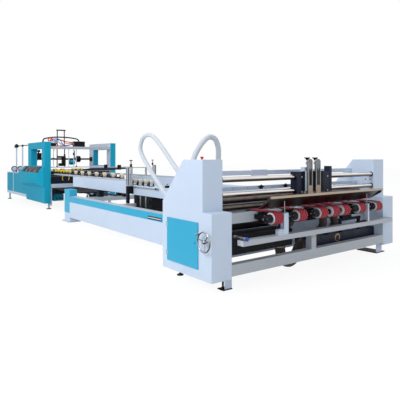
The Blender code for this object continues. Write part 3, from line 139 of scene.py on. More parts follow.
def cellPlate(us, vs, keep, axis, reach):
    # a plate made of the kept cells of a grid, with walls wherever a kept cell meets an empty one
    us, vs = np.array(us, float), np.array(vs, float)
    keep = np.array(keep, bool)
    order = axisOrder[axis]
    u, v = np.meshgrid(us, vs, indexing="ij")
    layer = u.size
    points = np.zeros((2 * layer, 3))
    for side in range(2):
        points[side * layer:(side + 1) * layer, order[0]] = u.ravel()
        points[side * layer:(side + 1) * layer, order[1]] = v.ravel()
        points[side * layer:(side + 1) * layer, order[2]] = reach[side]
    rows = len(vs)
    corner = np.arange(layer).reshape(len(us), rows)
    a, b, c, d = corner[:-1, :-1], corner[1:, :-1], corner[1:, 1:], corner[:-1, 1:]
    quad = np.stack((a, b, c, d), -1)
    padded = np.pad(keep, 1)
    faces = (quad[keep] + layer).tolist() + quad[keep][:, ::-1].tolist()
    sides = (
        (padded[1:-1, :-2], a, b),
        (padded[2:, 1:-1], b, c),
        (padded[1:-1, 2:], c, d),
        (padded[:-2, 1:-1], d, a),
    )
    for neighbour, first, second in sides:
        open_ = keep & ~neighbour
        p, q = first[open_], second[open_]
        faces += np.stack((p, q, q + layer, p + layer), -1).tolist()
    used = np.unique(np.concatenate([np.array(face) for face in faces]))
    renumber = np.zeros(2 * layer, int)
    renumber[used] = np.arange(len(used))
    return points[used], [renumber[face].tolist() for face in faces]


def smoothPath(knots, count):
    # cubic pieces through the knots, each knot's heading that of its two neighbours, the first and the last
    # stretch straight, then sampled evenly along its length
    knots = np.array(knots, float)
    runs = np.linalg.norm(np.diff(knots, axis=0), axis=1)
    t = np.linspace(0, 1, 33)[:-1, None]
    curve = [knots[:1]]
    for k in range(1, len(knots) - 2):
        leave = (knots[k + 1] - knots[k - 1]) / (runs[k - 1] + runs[k]) * runs[k]
        arrive = (knots[k + 2] - knots[k]) / (runs[k] + runs[k + 1]) * runs[k]
        curve.append(
            knots[k] * (2 * t**3 - 3 * t**2 + 1) + leave * (t**3 - 2 * t**2 + t)
            + knots[k + 1] * (3 * t**2 - 2 * t**3) + arrive * (t**3 - t**2)
        )
    curve = np.concatenate(curve + [knots[-2:]])
    length = np.concatenate(([0.0], np.cumsum(np.linalg.norm(np.diff(curve, axis=0), axis=1))))
    even = np.linspace(0, length[-1], count)
    return np.stack([np.interp(even, length, curve[:, k]) for k in range(3)], -1)


def pipe(path, radius, sides=16, lean=(0.0, 0.0, 1.0)):
    # a circle carried along a path; lean is a direction that the path never follows
    path = np.array(path, float)
    radius = np.broadcast_to(radius, len(path))
    heading = np.gradient(path, axis=0)
    heading /= np.linalg.norm(heading, axis=1)[:, None]
    across = np.cross(np.array(lean, float), heading)
    across /= np.linalg.norm(across, axis=1)[:, None]
    up = np.cross(heading, across)
    angle = np.linspace(0, 2 * math.pi, sides, endpoint=False)
    ring = np.cos(angle)[None, :, None] * across[:, None] + np.sin(angle)[None, :, None] * up[:, None]
    points = path[:, None] + radius[:, None, None] * ring
    faces = gridFaces(len(path), sides, closedColumns=True)
    last = (len(path) - 1) * sides
    faces += [list(range(sides))[::-1], [last + k for k in range(sides)]]
    return points.reshape(-1, 3), faces


def sleeve(start, end, profile, sides=32):
    # a closed ring section of (distance, radius) turned about the line from start to end
    return turned(start, end, profile, sides)[0], gridFaces(len(profile), sides, True, True)


def ribbed(path, radius, pitch, depth, sides=20, lean=(0.0, 0.0, 1.0)):
    # a hose whose radius swells and narrows along its length
    length = np.concatenate(([0.0], np.cumsum(np.linalg.norm(np.diff(path, axis=0), axis=1))))
    swell = 0.5 + 0.5 * np.cos(2 * math.pi * length / pitch)
    return pipe(path, radius - depth * (1 - swell), sides, lean)


def hexBolt(centre, axis, size=0.008, reach=0.006):
    # a hexagon head with a chamfer, standing along one signed axis
    centre = np.array(centre, float)
    way = np.array(axis, float)
    profile = [(0, size), (reach * 0.75, size), (reach, size * 0.8)]
    return turned(centre - way * 0.0005, centre + way * reach, profile, 6)


def bolts(places, axis, size=0.008, reach=0.006):
    # the same hexagon head at each place
    return joined(*[hexBolt(place, axis, size, reach) for place in places])


# effects shared by the materials, as node groups


def addNode(tree, kind, inputs=(), **settings):
    # a node with its settings, each input filled with a value or linked to another node's output
    made = tree.nodes.new("ShaderNode" + kind)
    for label, value in settings.items():
        setattr(made, label, value)
    for label, value in dict(inputs).items():
        if isinstance(value, bpy.types.NodeSocket):
            tree.links.new(value, made.inputs[label])
        else:
            made.inputs[label].default_value = value
    return made


def noise(tree, place, scale, detail, rough=0.5):
    # soft noise between 0 and 1
    inputs = {"Scale": scale, "Detail": detail, "Roughness": rough, "Vector": place}
    return addNode(tree, "TexNoise", inputs).outputs["Fac"]


def ramp(tree, source, low, high, fromValue=0.0, toValue=1.0):
    # the source's stretch from low to high, mapped straight to the two values and held at its ends
    inputs = {"From Min": low, "From Max": high, "To Min": fromValue, "To Max": toValue, "Value": source}
    return addNode(tree, "MapRange", inputs).outputs["Result"]


def combine(tree, kind, first, second):
    # one sum, product or larger value of two
    return addNode(tree, "Math", {0: first, 1: second}, operation=kind).outputs[0]


def mix(tree, factor, first, second, kind="MIX"):
    # a colour that goes from the first to the second with the factor
    inputs = {"Factor": factor, "A": first, "B": second}
    return addNode(tree, "Mix", inputs, data_type="RGBA", blend_type=kind).outputs["Result"]


def newGroup(name, **defaults):
    # an effect group: each input has the kind of its default, and the outputs feed a shader
    group = bpy.data.node_groups.new(name, "ShaderNodeTree")
    for label, default in defaults.items():
        kind = {4: "Color", 3: "Vector"}[len(default)] if isinstance(default, tuple) else "Float"
        group.interface.new_socket(label, in_out="INPUT", socket_type="NodeSocket" + kind).default_value = default
    for label, kind in (("Colour", "Color"), ("Roughness", "Float"), ("Height", "Float")):
        group.interface.new_socket(label, in_out="OUTPUT", socket_type="NodeSocket" + kind)
    return group, group.nodes.new("NodeGroupInput").outputs, group.nodes.new("NodeGroupOutput")


def feed(group, end, **values):
    # the named values into the group's outputs
    for label, value in values.items():
        group.links.new(value, end.inputs[label])
    return group


def paintEffects():
    # uneven paint: cloudy tone, faint dust low down, fine orange peel, bare rubbed edges
    group, start, end = newGroup(
        "paintEffects", Paint=(0.8, 0.8, 0.8, 1), Worn=(0.5, 0.5, 0.5, 1), Roughness=0.4, Wear=0.5, Dust=0.3,
    )
    place = addNode(group, "TexCoord").outputs["Object"]
    cloud = ramp(group, noise(group, place, 1.7, 4), 0.3, 0.7, 0.0, 0.10)
    toned = mix(group, cloud, start["Paint"], (0.62, 0.64, 0.68, 1), "MULTIPLY")
    height = addNode(group, "SeparateXYZ", {0: place}).outputs["Z"]
    low = ramp(group, height, 0.0, 0.45, 1.0, 0.0)
    settled = combine(group, "MULTIPLY", low, ramp(group, noise(group, place, 9, 6), 0.35, 0.75))
    dustMask = combine(group, "MULTIPLY", settled, start["Dust"])
    dusty = mix(group, dustMask, toned, (0.42, 0.40, 0.37, 1))
    # an edge is where the rounded normal leans away from the flat one
    rounded = addNode(group, "Bevel", {"Radius": 0.006}, samples=4).outputs["Normal"]
    flat = addNode(group, "NewGeometry").outputs["Normal"]
    lean = addNode(group, "VectorMath", {0: rounded, 1: flat}, operation="DOT_PRODUCT").outputs["Value"]
    patches = ramp(group, noise(group, place, 26, 5, 0.65), 0.50, 0.66)
    rubbed = combine(group, "MULTIPLY", ramp(group, lean, 0.985, 0.90), patches)
    wearMask = combine(group, "MULTIPLY", rubbed, start["Wear"])
    smear = ramp(group, noise(group, place, 5, 6, 0.6), 0.3, 0.7, -0.05, 0.07)
    dull = combine(group, "MULTIPLY", dustMask, 0.3)
    return feed(
        group, end, Colour=mix(group, wearMask, dusty, start["Worn"]),
        Roughness=combine(group, "ADD", combine(group, "ADD", start["Roughness"], smear), dull),
        Height=noise(group, place, 420, 2),
    )


def metalEffects():
    # machined or polished metal: fine lines along one axis, blotches, faint scratches and a painted reflection by
    # facing
    group, start, end = newGroup(
        "metalEffects", Metal=(0.6, 0.6, 0.6, 1), Dark=(0.3, 0.3, 0.3, 1), Roughness=0.3, Lines=(1.0, 1.0, 1.0),
        Stain=0.4, Band=0.8,
    )
    place = addNode(group, "TexCoord").outputs["Object"]
    stretched = addNode(group, "VectorMath", {0: place, 1: start["Lines"]}, operation="MULTIPLY").outputs[0]
    lines = noise(group, stretched, 1.0, 5)
    stain = combine(group, "MULTIPLY", ramp(group, noise(group, place, 7, 6), 0.42, 0.72), start["Stain"])
    tone = mix(group, stain, start["Metal"], start["Dark"])
    # painted reflection of a soft room: pale where the face looks up, a dark band below the middle, painted shade
    # underneath
    facing = addNode(group, "NewGeometry").outputs["Normal"]
    height = ramp(group, addNode(group, "SeparateXYZ", {0: facing}).outputs["Z"], -1.0, 1.0)
    paintedReflectionRamp = addNode(group, "ValToRGB", {"Fac": height})
    stops = paintedReflectionRamp.color_ramp.elements
    stops[0].position, stops[1].position = 0.0, 1.0
    stops[0].color, stops[1].color = (0.30, 0.27, 0.26, 1), (0.50, 0.50, 0.52, 1)
    for position, shade in ((0.12, 0.24), (0.30, 0.11), (0.46, 0.18), (0.56, 0.72), (0.66, 1.0), (0.86, 0.92)):
        stops.new(position).color = (shade, shade * 0.97, shade * 0.95, 1)
    uneven = ramp(group, lines, 0.3, 0.7, -0.06, 0.08)
    # the colour is multiplied by the painted reflection, as strongly as its input asks
    return feed(
        group, end, Colour=mix(group, start["Band"], tone, paintedReflectionRamp.outputs["Color"], "MULTIPLY"),
        Roughness=combine(group, "ADD", start["Roughness"], uneven), Height=lines,
    )


paintGroup = paintEffects()
metalGroup = metalEffects()


def newTree(name):
    # a new material with its node tree and its shader
    made = bpy.data.materials.new(name)
    made.use_nodes = True
    return made, made.node_tree, made.node_tree.nodes["Principled BSDF"]


def dress(tree, shader, colour, roughness, height, strength, distance):
    # colour, roughness and bump into the shader
    bump = addNode(tree, "Bump", {"Strength": strength, "Distance": distance, "Height": height})
    for label, value in (("Base Color", colour), ("Roughness", roughness), ("Normal", bump.outputs["Normal"])):
        tree.links.new(value, shader.inputs[label])


def newMaterial(name, group, bumpStrength, bumpDistance, metallic, coat=0.0, shine=0.5, **inputs):
    # one effect group feeding the shader's colour, roughness and bump
    made, tree, shader = newTree(name)
    effect = tree.nodes.new("ShaderNodeGroup")
    effect.node_tree = group
    for label, value in inputs.items():
        effect.inputs[label].default_value = value
    out = effect.outputs
    dress(tree, shader, out["Colour"], out["Roughness"], out["Height"], bumpStrength, bumpDistance)
    settings = {"Metallic": metallic, "Coat Weight": coat, "Specular IOR Level": shine, "Coat Roughness": 0.12}
    for label, value in settings.items():
        shader.inputs[label].default_value = value
    return made


def paint(
    name, colour, roughness=0.38, wear=0.35, dust=0.25, worn=(0.45, 0.45, 0.46), coat=0.1, bump=0.05, shine=0.5,
):
    # a painted or moulded finish: the effect group's values and a light bump
    return newMaterial(
        name, paintGroup, bump, 0.0006, 0.0, coat, shine,
        Paint=(*colour, 1), Worn=(*worn, 1), Roughness=roughness, Wear=wear, Dust=dust,
    )


def metal(name, colour, dark, roughness, lines, stain=0.4, bump=0.06, reflectionStrength=0.85):
    # a bare metal finish, with lines that run along the axis of the smallest number; the last number sets the
    # painted reflection
    return newMaterial(
        name, metalGroup, bump, 0.0004, 1.0,
        Metal=(*colour, 1), Dark=(*dark, 1), Roughness=roughness, Lines=lines, Stain=stain, Band=reflectionStrength,
    )


whitePaint = paint("whitePaint", (0.66, 0.76, 0.91), 0.40, 0.25, 0.12, coat=0.0, shine=0.35)
greyPaint = paint("greyPaint", (0.50, 0.53, 0.58), 0.42, 0.3, 0.2)
tealPaint = paint("tealPaint", (0.048, 0.45, 0.68), 0.40, 0.25, 0.05, coat=0.0, shine=0.14)
deepTeal = paint("deepTeal", (0.014, 0.40, 0.59), 0.46, 0.2, 0.03, coat=0.0, shine=0.04)
navyPaint = paint("navyPaint", (0.007, 0.011, 0.034), 0.42, 0.5, 0.05, (0.20, 0.21, 0.24), 0.0, 0.05, 0.22)
darkPaint = paint("darkPaint", (0.009, 0.009, 0.012), 0.52, 0.5, 0.12, (0.16, 0.16, 0.17), 0.0, 0.05, 0.12)
blackPlastic = paint("blackPlastic", (0.006, 0.006, 0.008), 0.50, 0.1, 0.1, (0.06, 0.06, 0.06), 0.0, 0.12, 0.15)
screenGlass = paint("screenGlass", (0.020, 0.024, 0.030), 0.30, 0.0, 0.0, (0.10, 0.10, 0.11), 0.0, 0.02, 0.12)
beigeTrim = paint("beigeTrim", (0.58, 0.45, 0.33), 0.50, 0.5, 0.1, (0.35, 0.27, 0.20), 0.0, 0.12)
creamRubber = paint("creamRubber", (0.72, 0.63, 0.50), 0.60, 0.4, 0.2, (0.40, 0.34, 0.27), 0.0, 0.15)
yellowRubber = paint("yellowRubber", (0.80, 0.58, 0.02), 0.55, 0.4, 0.15, (0.35, 0.27, 0.08), 0.0, 0.15, 0.3)
whitePlastic = paint("whitePlastic", (0.74, 0.77, 0.82), 0.42, 0.2, 0.15, (0.50, 0.50, 0.52), 0.0, 0.08)
airHosePlastic = paint("airHosePlastic", (0.70, 0.74, 0.79), 0.45, 0.1, 0.15, (0.42, 0.44, 0.47), 0.0, 0.10, 0.3)
brownHose = paint("brownHose", (0.055, 0.043, 0.038), 0.52, 0.4, 0.3, (0.16, 0.13, 0.11), 0.0, 0.15, 0.3)
redPlastic = paint("redPlastic", (0.60, 0.012, 0.020), 0.30, 0.05, 0.0, (0.30, 0.01, 0.01), 0.2, 0.04)
bluePlastic = paint("bluePlastic", (0.01, 0.055, 0.42), 0.35, 0.05, 0.0, (0.01, 0.03, 0.2), 0.1, 0.04)
cyanTape = paint("cyanTape", (0.02, 0.48, 0.78), 0.40, 0.05, 0.0, (0.02, 0.3, 0.4), 0.0, 0.04)
redWire = paint("redWire", (0.62, 0.03, 0.03), 0.45, 0.0, 0.0, (0.3, 0.02, 0.01), 0.0, 0.04)
orangeWire = paint("orangeWire", (0.78, 0.20, 0.03), 0.45, 0.0, 0.0, (0.3, 0.1, 0.01), 0.0, 0.04)
blueWire = paint("blueWire", (0.03, 0.13, 0.55), 0.45, 0.0, 0.0, (0.02, 0.05, 0.2), 0.0, 0.04)
chrome = metal("chrome", (0.86, 0.85, 0.84), (0.62, 0.58, 0.54), 0.12, (3.0, 160.0, 160.0), 0.3, 0.02, 1.0)
chromeWheel = metal("chromeWheel", (0.50, 0.53, 0.58), (0.26, 0.28, 0.32), 0.12, (60.0, 60.0, 60.0), 0.2, 0.02, 1.0)
stainless = metal("stainless", (0.56, 0.54, 0.52), (0.30, 0.28, 0.26), 0.30, (60.0, 60.0, 60.0), 0.4, 0.05)
traySteel = metal("traySteel", (0.50, 0.455, 0.435), (0.26, 0.235, 0.225), 0.34, (3.0, 90.0, 90.0), 0.6, 0.05, 0.95)
gateSteel = metal("gateSteel", (0.26, 0.27, 0.29), (0.14, 0.14, 0.15), 0.36, (260.0, 260.0, 5.0), 0.5, 0.08, 0.3)
rollSteel = metal("rollSteel", (0.24, 0.205, 0.185), (0.11, 0.09, 0.08), 0.36, (4.0, 200.0, 200.0), 0.6, 0.06)
zincSteel = metal("zincSteel", (0.60, 0.60, 0.60), (0.38, 0.37, 0.35), 0.32, (80.0, 80.0, 80.0), 0.4, 0.05, 0.7)
brass = metal("brass", (0.62, 0.40, 0.14), (0.35, 0.22, 0.08), 0.28, (90.0, 90.0, 90.0), 0.4, 0.04, 0.5)

# placing pieces


def nodeBox(node):
    # the low and high corner of a CAD node, in line coordinates, as pairs for x, y and z
    low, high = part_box(node)
    low = np.array(low) - lineShift
    high = np.array(high) - lineShift
    return np.stack((low, high), -1)


def addPiece(name, shape, finish, body="frame", replaces=(), slotName=None, bevel=0.0, smooth=0.0, segments=2):
    # shape, or a list of them, in line coordinates; bevel rounds the edges of plates, smooth is the angle kept
    # soft on round pieces
    points, faces = joined(*shape) if isinstance(shape, list) else shape
    mesh = bpy.data.meshes.new(name)
    mesh.from_pydata((points + lineShift).tolist(), [], faces)
    mesh.materials.append(finish)
    piece = bpy.data.objects.new(name, mesh)
    bpy.context.scene.collection.objects.link(piece)
    if smooth:
        mesh.shade_smooth()
        mesh.set_sharp_from_angle(angle=math.radians(smooth))
    if bevel:
        mesh.shade_smooth()
        rounding = piece.modifiers.new("rounding", "BEVEL")
        rounding.width = bevel
        rounding.segments = segments
        rounding.limit_method = "ANGLE"
        rounding.angle_limit = math.radians(40)
        rounding.harden_normals = True
    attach(piece, body)
    if replaces:
        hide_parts(*([replaces] if isinstance(replaces, str) else replaces))
    return piece


def pairPlacer(name, centre, body="frame"):
    # places the pieces of one side: as they are, or mirrored about the centre where one is given
    def put(label, shape, finish, **looks):
        shape = joined(*shape) if isinstance(shape, list) else shape
        return addPiece(name + label, mirroredX(shape, centre) if centre else shape, finish, body, **looks)
    return put


def beam(name, node, finish, body="frame", bevel=0.004, slotName=None):
    # a rounded bar that takes its place from the CAD node it replaces
    x, y, z = nodeBox(node)
    return addPiece(name, slab(x, y, z), finish, body, node, slotName, bevel)


# camera

view = {"place": (-2.903, -3.602, 1.508), "yaw": 37.32, "lens": 38.33, "shiftY": -0.1029}


def camera():
    # the place, turn and lens that put the model over the photo; level, so a vertical shift frames it
    print("camera")
    data = bpy.data.cameras.new("photoCamera")
    data.sensor_width = 36
    data.lens = view["lens"]
    data.shift_y = view["shiftY"]
    data.clip_start = 0.1
    data.clip_end = 200
    made = bpy.data.objects.new("photoCamera", data)
    made.location = np.array(view["place"]) + lineShift
    made.rotation_euler = (math.pi / 2, 0, -math.radians(view["yaw"]))
    bpy.context.scene.collection.objects.link(made)
    bpy.context.scene.camera = made


# feeder housings

housing = {
    "width": 3.78,
    "thickness": 0.297,
    "bottom": 0.145,
    "step": 0.905,
    "height": 1.50,
    "upperFront": 0.162,
    "topRear": 0.542,
    "rear": 0.991,
    "slopeFoot": 0.98,
    "edge": 0.006,
    "doorway": (0.249, 0.857, 0.269, 0.771),
    "cabinetDepth": 0.262,
}


def housingOutline():
    # the side seen along x: a box whose front steps back and whose rear slopes down from the top
    h = housing
    return [
        (0.0, h["bottom"]),
        (h["rear"], h["bottom"]),
        (h["rear"], h["slopeFoot"]),
        (h["topRear"], h["height"]),
        (h["upperFront"], h["height"]),
        (h["upperFront"], h["step"]),
        (0.0, h["step"]),
    ]


def pocketHousing():
    # the side outline with a pocket sunk into its outer face: the face is two outlines that meet at the
    # pocket's mid height, and four walls and a back close the pocket
    h = housing
    y0, y1, z0, z1 = h["doorway"]
    middle = (z0 + z1) / 2
    outline = housingOutline()
    ring = outline[:2] + [(h["rear"], middle)] + outline[2:] + [(0.0, middle)]
    hole = [(y0, z0), (y1, z0), (y1, middle), (y1, z1), (y0, z1), (y0, middle)]
    flat = np.array(ring + hole)
    count, holes = len(ring), len(hole)
    outer = np.column_stack((np.zeros(len(flat)), flat))
    inner = np.column_stack((np.full(count, h["thickness"]), flat[:count]))
    back = np.column_stack((np.full(holes, h["cabinetDepth"]), flat[count:]))
    points = np.concatenate((outer, inner, back))
    far, deep = len(outer), len(outer) + count
    lower = [0, 1, 2] + [count + k for k in (2, 1, 0, 5)] + [8]
    upper = [8] + [count + k for k in (5, 4, 3, 2)] + [2, 3, 4, 5, 6, 7]
    faces = [lower[::-1], upper[::-1]]
    faces += [[k, (k + 1) % count, far + (k + 1) % count, far + k] for k in range(count)]
    faces.append([far + k for k in range(count)])
    faces += [[count + (k + 1) % holes, count + k, deep + k, deep + (k + 1) % holes] for k in range(holes)]
    faces.append([deep + k for k in range(holes)][::-1])
    return points, faces


def housingFeet(far):
    # in front a bolt on a plate with an upright web, at the rear a pad with a stem; the far web stands under
    # its housing
    top = housing["bottom"]
    if far:
        base, boltX, padX = ((3.4427, 3.6897), (0.0903, 0.4403)), 3.5997, 3.5347
        web = slab((3.4597, 3.6197), (0.1003, 0.1083), (0.006, 0.165))
    else:
        base, boltX, padX = ((0.247, 0.385), (0.0903, 0.2003)), 0.288, 0.245
        outline = [(0.277, 0.006), (0.385, 0.006), (0.385, 0.250), (0.350, 0.290), (0.277, 0.290)]
        web = prism(outline, "y", (0.1003, 0.1083))
    plate = slab(*base, (0.0, 0.012))
    nut = [(0, 0.019), (0.002, 0.0208), (0.015, 0.0208), (0.017, 0.019)]
    bolt = joined(
        bar((boltX, 0.148, 0.008), (boltX, 0.148, top + 0.002), 0.012, 20),
        turned((boltX, 0.148, 0.012), (boltX, 0.148, 0.029), nut, 6),
        turned((boltX, 0.148, top - 0.018), (boltX, 0.148, top - 0.001), nut, 6),
    )
    pad = turned(
        (padX, 0.95, 0.0), (padX, 0.95, 0.022), [(0, 0.043), (0.004, 0.045), (0.012, 0.042), (0.022, 0.022)], 24,
    )
    stem = bar((padX, 0.95, 0.02), (padX, 0.95, top + 0.002), 0.012, 16)
    return plate, web, joined(bolt, stem), pad


def housingShell(side, shell):
    # one housing with its feet
    name, node = side + "Housing", side + "_side_housing"
    edge = housing["edge"]
    addPiece(name + "Shell", shell, whitePaint, replaces=node, slotName="white_paint", bevel=edge, segments=3)
    plate, web, metalParts, pad = housingFeet(side == "drive")
    addPiece(name + "FootPlate", plate, darkPaint, bevel=0.002)
    addPiece(name + "FootWeb", web, whitePaint, bevel=0.0015)
    addPiece(name + "FootBolts", metalParts, darkPaint, smooth=30)
    addPiece(name + "Pad", pad, blackPlastic, smooth=35)


def operatorHousing():
    # the pocketed side outline, a button turned from its profile, and hexagon heads on the outer face
    print("operator side housing")
    housingShell("operator", pocketHousing())
    profile = [
        (0, 0.013), (0.014, 0.013), (0.016, 0.015), (0.022, 0.0205), (0.030, 0.0205), (0.0335, 0.016),
        (0.034, 0.001),
    ]
    addPiece("stopButton", turned((0.10, 0.30, 1.5), (0.10, 0.30, 1.534), profile, 28), redPlastic, smooth=30)
    screws = [
        (0.0, y, z)
        for y, z in ((0.20, 1.46), (0.50, 1.46), (0.955, 0.95), (0.955, 0.18), (0.03, 0.18), (0.03, 0.87))
    ]
    addPiece("operatorHousingScrews", bolts(screws, (-1, 0, 0), 0.005, 0.002), greyPaint)


def driveHousing():
    # the plain side outline carried over the housing's thickness
    print("drive side housing")
    near = housing["width"] - housing["thickness"]
    housingShell("drive", prism(housingOutline(), "x", (near, housing["width"])))
    addPiece(
        "driveHousingScrews", bolts([(near, 0.222, 1.176), (near, 0.30, 1.176)], (-1, 0, 0), 0.010, 0.008),
        darkPaint,
    )


def operatorDoor():
    # a slab on the outer face, with turned hinge knuckles on its rear edge and a turned latch
    print("operator door")
    low, high = 0.235, 0.871
    bottom, top = 0.255, 0.785
    panel = slab((-0.0123, -0.0003), (low, high), (bottom, top))
    addPiece("operatorDoorPanel", panel, tealPaint, "door", "operator_door", "teal_paint", 0.003, segments=3)
    knuckles = []
    for height in (0.35, 0.70):
        knuckles.append(bar((-0.0095, 0.881, height - 0.0275), (-0.0095, 0.881, height + 0.0275), 0.0085, 20))
        knuckles.append(slab((-0.0148, -0.0075), (0.853, 0.881), (height - 0.025, height + 0.025)))
    addPiece("operatorDoorHinges", knuckles, greyPaint, "door", smooth=30)
    latch = turned(
        (-0.012, low + 0.06, 0.55), (-0.0215, low + 0.06, 0.55), [(0, 0.016), (0.006, 0.016), (0.0095, 0.012)], 28,
    )
    addPiece("operatorDoorLatch", latch, tealPaint, "door", smooth=30)
    slot = slab((-0.0222, -0.0212), (low + 0.0585, low + 0.0615), (0.541, 0.559))
    addPiece("operatorDoorLatchSlot", slot, darkPaint, "door")


handwheel = {"x": -0.052, "y": 0.072, "z": 0.595, "radius": 0.118, "rim": 0.009}


def operatorHandwheel():
    # a torus, three spokes that are circles carried along curves, and a turned hub and grip
    print("handwheel")
    h = handwheel
    centre = np.array((h["x"], h["y"], h["z"]))
    run = h["radius"] - h["rim"]
    around = np.linspace(0, 2 * math.pi, 72, endpoint=False)
    section = np.linspace(0, 2 * math.pi, 16, endpoint=False)
    # a torus: the section circle carried round the rim circle
    a, s = np.meshgrid(around, section, indexing="ij")
    reach = run + h["rim"] * np.cos(s)
    ring = np.stack(
        (centre[0] + h["rim"] * np.sin(s), centre[1] + reach * np.cos(a), centre[2] + reach * np.sin(a)), -1,
    )
    rim = (ring.reshape(-1, 3), [face[::-1] for face in gridFaces(72, 16, True, True)])
    parts = [rim]
    for number in range(3):
        angle = math.radians(15 + 120 * number)
        spoke = ((0.008, 0.012), (0.008, 0.03), (0.002, 0.085), (0.0, run))
        knots = [centre + (x, out * math.cos(angle), out * math.sin(angle)) for x, out in spoke]
        parts.append(pipe(smoothPath(knots, 14), np.linspace(0.0085, 0.006, 14), 14, (1.0, 0.0, 0.0)))
    hub = [(0, 0.008), (0.001, 0.013), (0.006, 0.019), (0.016, 0.022), (0.034, 0.022), (0.040, 0.018)]
    parts.append(turned(centre - (0.014, 0, 0), centre + (0.026, 0, 0), hub, 32))
    parts.append(bar(centre + (0.02, 0, 0), (0.10, centre[1], centre[2]), 0.011, 24))
    addPiece("handwheelRim", parts, chromeWheel, "wheel", "handwheel", "chrome", smooth=35)
    angle = math.radians(50)
    start = centre + (0.0, run * math.cos(angle), run * math.sin(angle))
    end = np.array((-0.12, start[1], start[2]))
    grip = [
        (0, 0.006), (0.010, 0.007), (0.014, 0.0085), (0.035, 0.0105), (0.055, 0.0095), (0.064, 0.007),
        (0.068, 0.002),
    ]
    addPiece("handwheelGrip", turned(start, end, grip, 24), chromeWheel, "wheel", smooth=40)


# bars, rods and rolls between the housings

betweenHousings = (0.2973, 3.4827)
rodSet = {"y": 0.21, "upper": 1.262, "lower": 1.08, "radius": 0.034}


def guideRods():
    # two round bars, each with a ring section turned about its ends
    print("guide rods")
    left, right = betweenHousings
    y, rings = rodSet["y"], []
    ring = [(0, 0.0345), (0, 0.038), (0.002, 0.040), (0.012, 0.040), (0.014, 0.038), (0.014, 0.0345)]
    for level in ("upper", "lower"):
        z = rodSet[level]
        rod = bar((left, y, z), (right, y, z), rodSet["radius"], 48, 0.003)
        addPiece(level + "GuideRod", rod, chrome, replaces=level + "_guide_rod", slotName="chrome", smooth=30)
        rings += [sleeve((x, y, z), (x + 0.014, y, z), ring, 40) for x in (left, right - 0.014)]
    addPiece("guideRodRings", rings, darkPaint, smooth=30)


def housingBars():
    # slabs and a shaft from one housing to the other
    print("bars between the housings")
    inner = betweenHousings
    rear = joined(slab(inner, (0.56, 0.62), (1.29, 1.352)), slab((1.137, 1.446), (0.548, 0.57), (1.279, 1.361)))
    addPiece("rearCrossBeam", rear, whitePaint, replaces="rear_cross_beam", slotName="white_paint", bevel=0.004)
    stopBar = slab(inner, (0.46, 0.50), (1.10, 1.15))
    addPiece("backStopBar", stopBar, whitePaint, replaces="back_stop_bar", slotName="white_paint", bevel=0.003)
    # each stop: a black block on the bar's front, a stub above it and a short pin across
    stops = []
    for middle in (1.217, 1.706):
        stops.append(slab((middle - 0.020, middle + 0.020), (0.437, 0.462), (1.106, 1.152)))
        stops.append(bar((middle - 0.052, 0.448, 1.138), (middle + 0.052, 0.448, 1.138), 0.008, 16))
        stops.append(bar((middle + 0.006, 0.452, 1.148), (middle + 0.006, 0.452, 1.162), 0.010, 16))
    addPiece("stopBarFittings", stops, blackPlastic, bevel=0.002)
    heads = [(x, 0.46, 1.125) for x in (0.46, 0.72, 0.98, 1.44, 1.95, 2.30, 2.65, 3.0, 3.3)]
    addPiece("stopBarScrews", bolts(heads, (0, -1, 0), 0.006, 0.004), darkPaint)
    beam("tableBeam", "table_beam", greyPaint, slotName="white_paint")
    cover = slab(inner, (0.70, 0.991), (0.175, 0.95))
    addPiece("rearCover", cover, whitePaint, replaces="rear_cover", slotName="white_paint", bevel=0.005)
    x, y, z = nodeBox("belt_drive_shaft")
    shaft = bar((x[0], y.mean(), z.mean()), (x[1], y.mean(), z.mean()), 0.04, 32, 0.003)
    addPiece("beltDriveShaft", shaft, darkPaint, replaces="belt_drive_shaft", slotName="dark_paint", smooth=30)


def feedRolls():
    # one profile turned about each roll's axis, with its journals at the ends
    print("feed rolls")
    (left, right), y = betweenHousings, 0.42
    shaft = [(0, 0.02), (0.029, 0.02), (0.030, 0.040), (0.033, 0.042)]
    shaft += [(3.1524, 0.042), (3.1554, 0.040), (3.1564, 0.02), (3.1854, 0.02)]
    for level, z in (("upper", 0.987), ("lower", 0.893)):
        roll = turned((left, y, z), (right, y, z), shaft, 40)
        addPiece(level + "FeedRoll", roll, rollSteel, level + "_roll", level + "_feed_roll", "steel", smooth=30)


def lowerFrontBeam():
    # slabs: the beam, a post on it and a shelf beside the post
    print("lower front beam")
    body = slab(betweenHousings, (0.0, 0.10), (0.175, 0.307))
    post = slab((1.71, 1.81), (0.0008, 0.0985), (0.297, 0.578))
    shelf = slab((1.45, 1.72), (0.002, 0.12), (0.488, 0.502))
    addPiece("lowerBeam", body, greyPaint, replaces="lower_front_beam", slotName="white_paint", bevel=0.005)
    addPiece("centrePost", joined(post, shelf), greyPaint, bevel=0.003)
    heads = [(x, 0.0008, z) for x in (1.735, 1.785) for z in (0.34, 0.47)]
    addPiece("centrePostBolts", bolts(heads, (0, -1, 0), 0.009, 0.006), zincSteel)


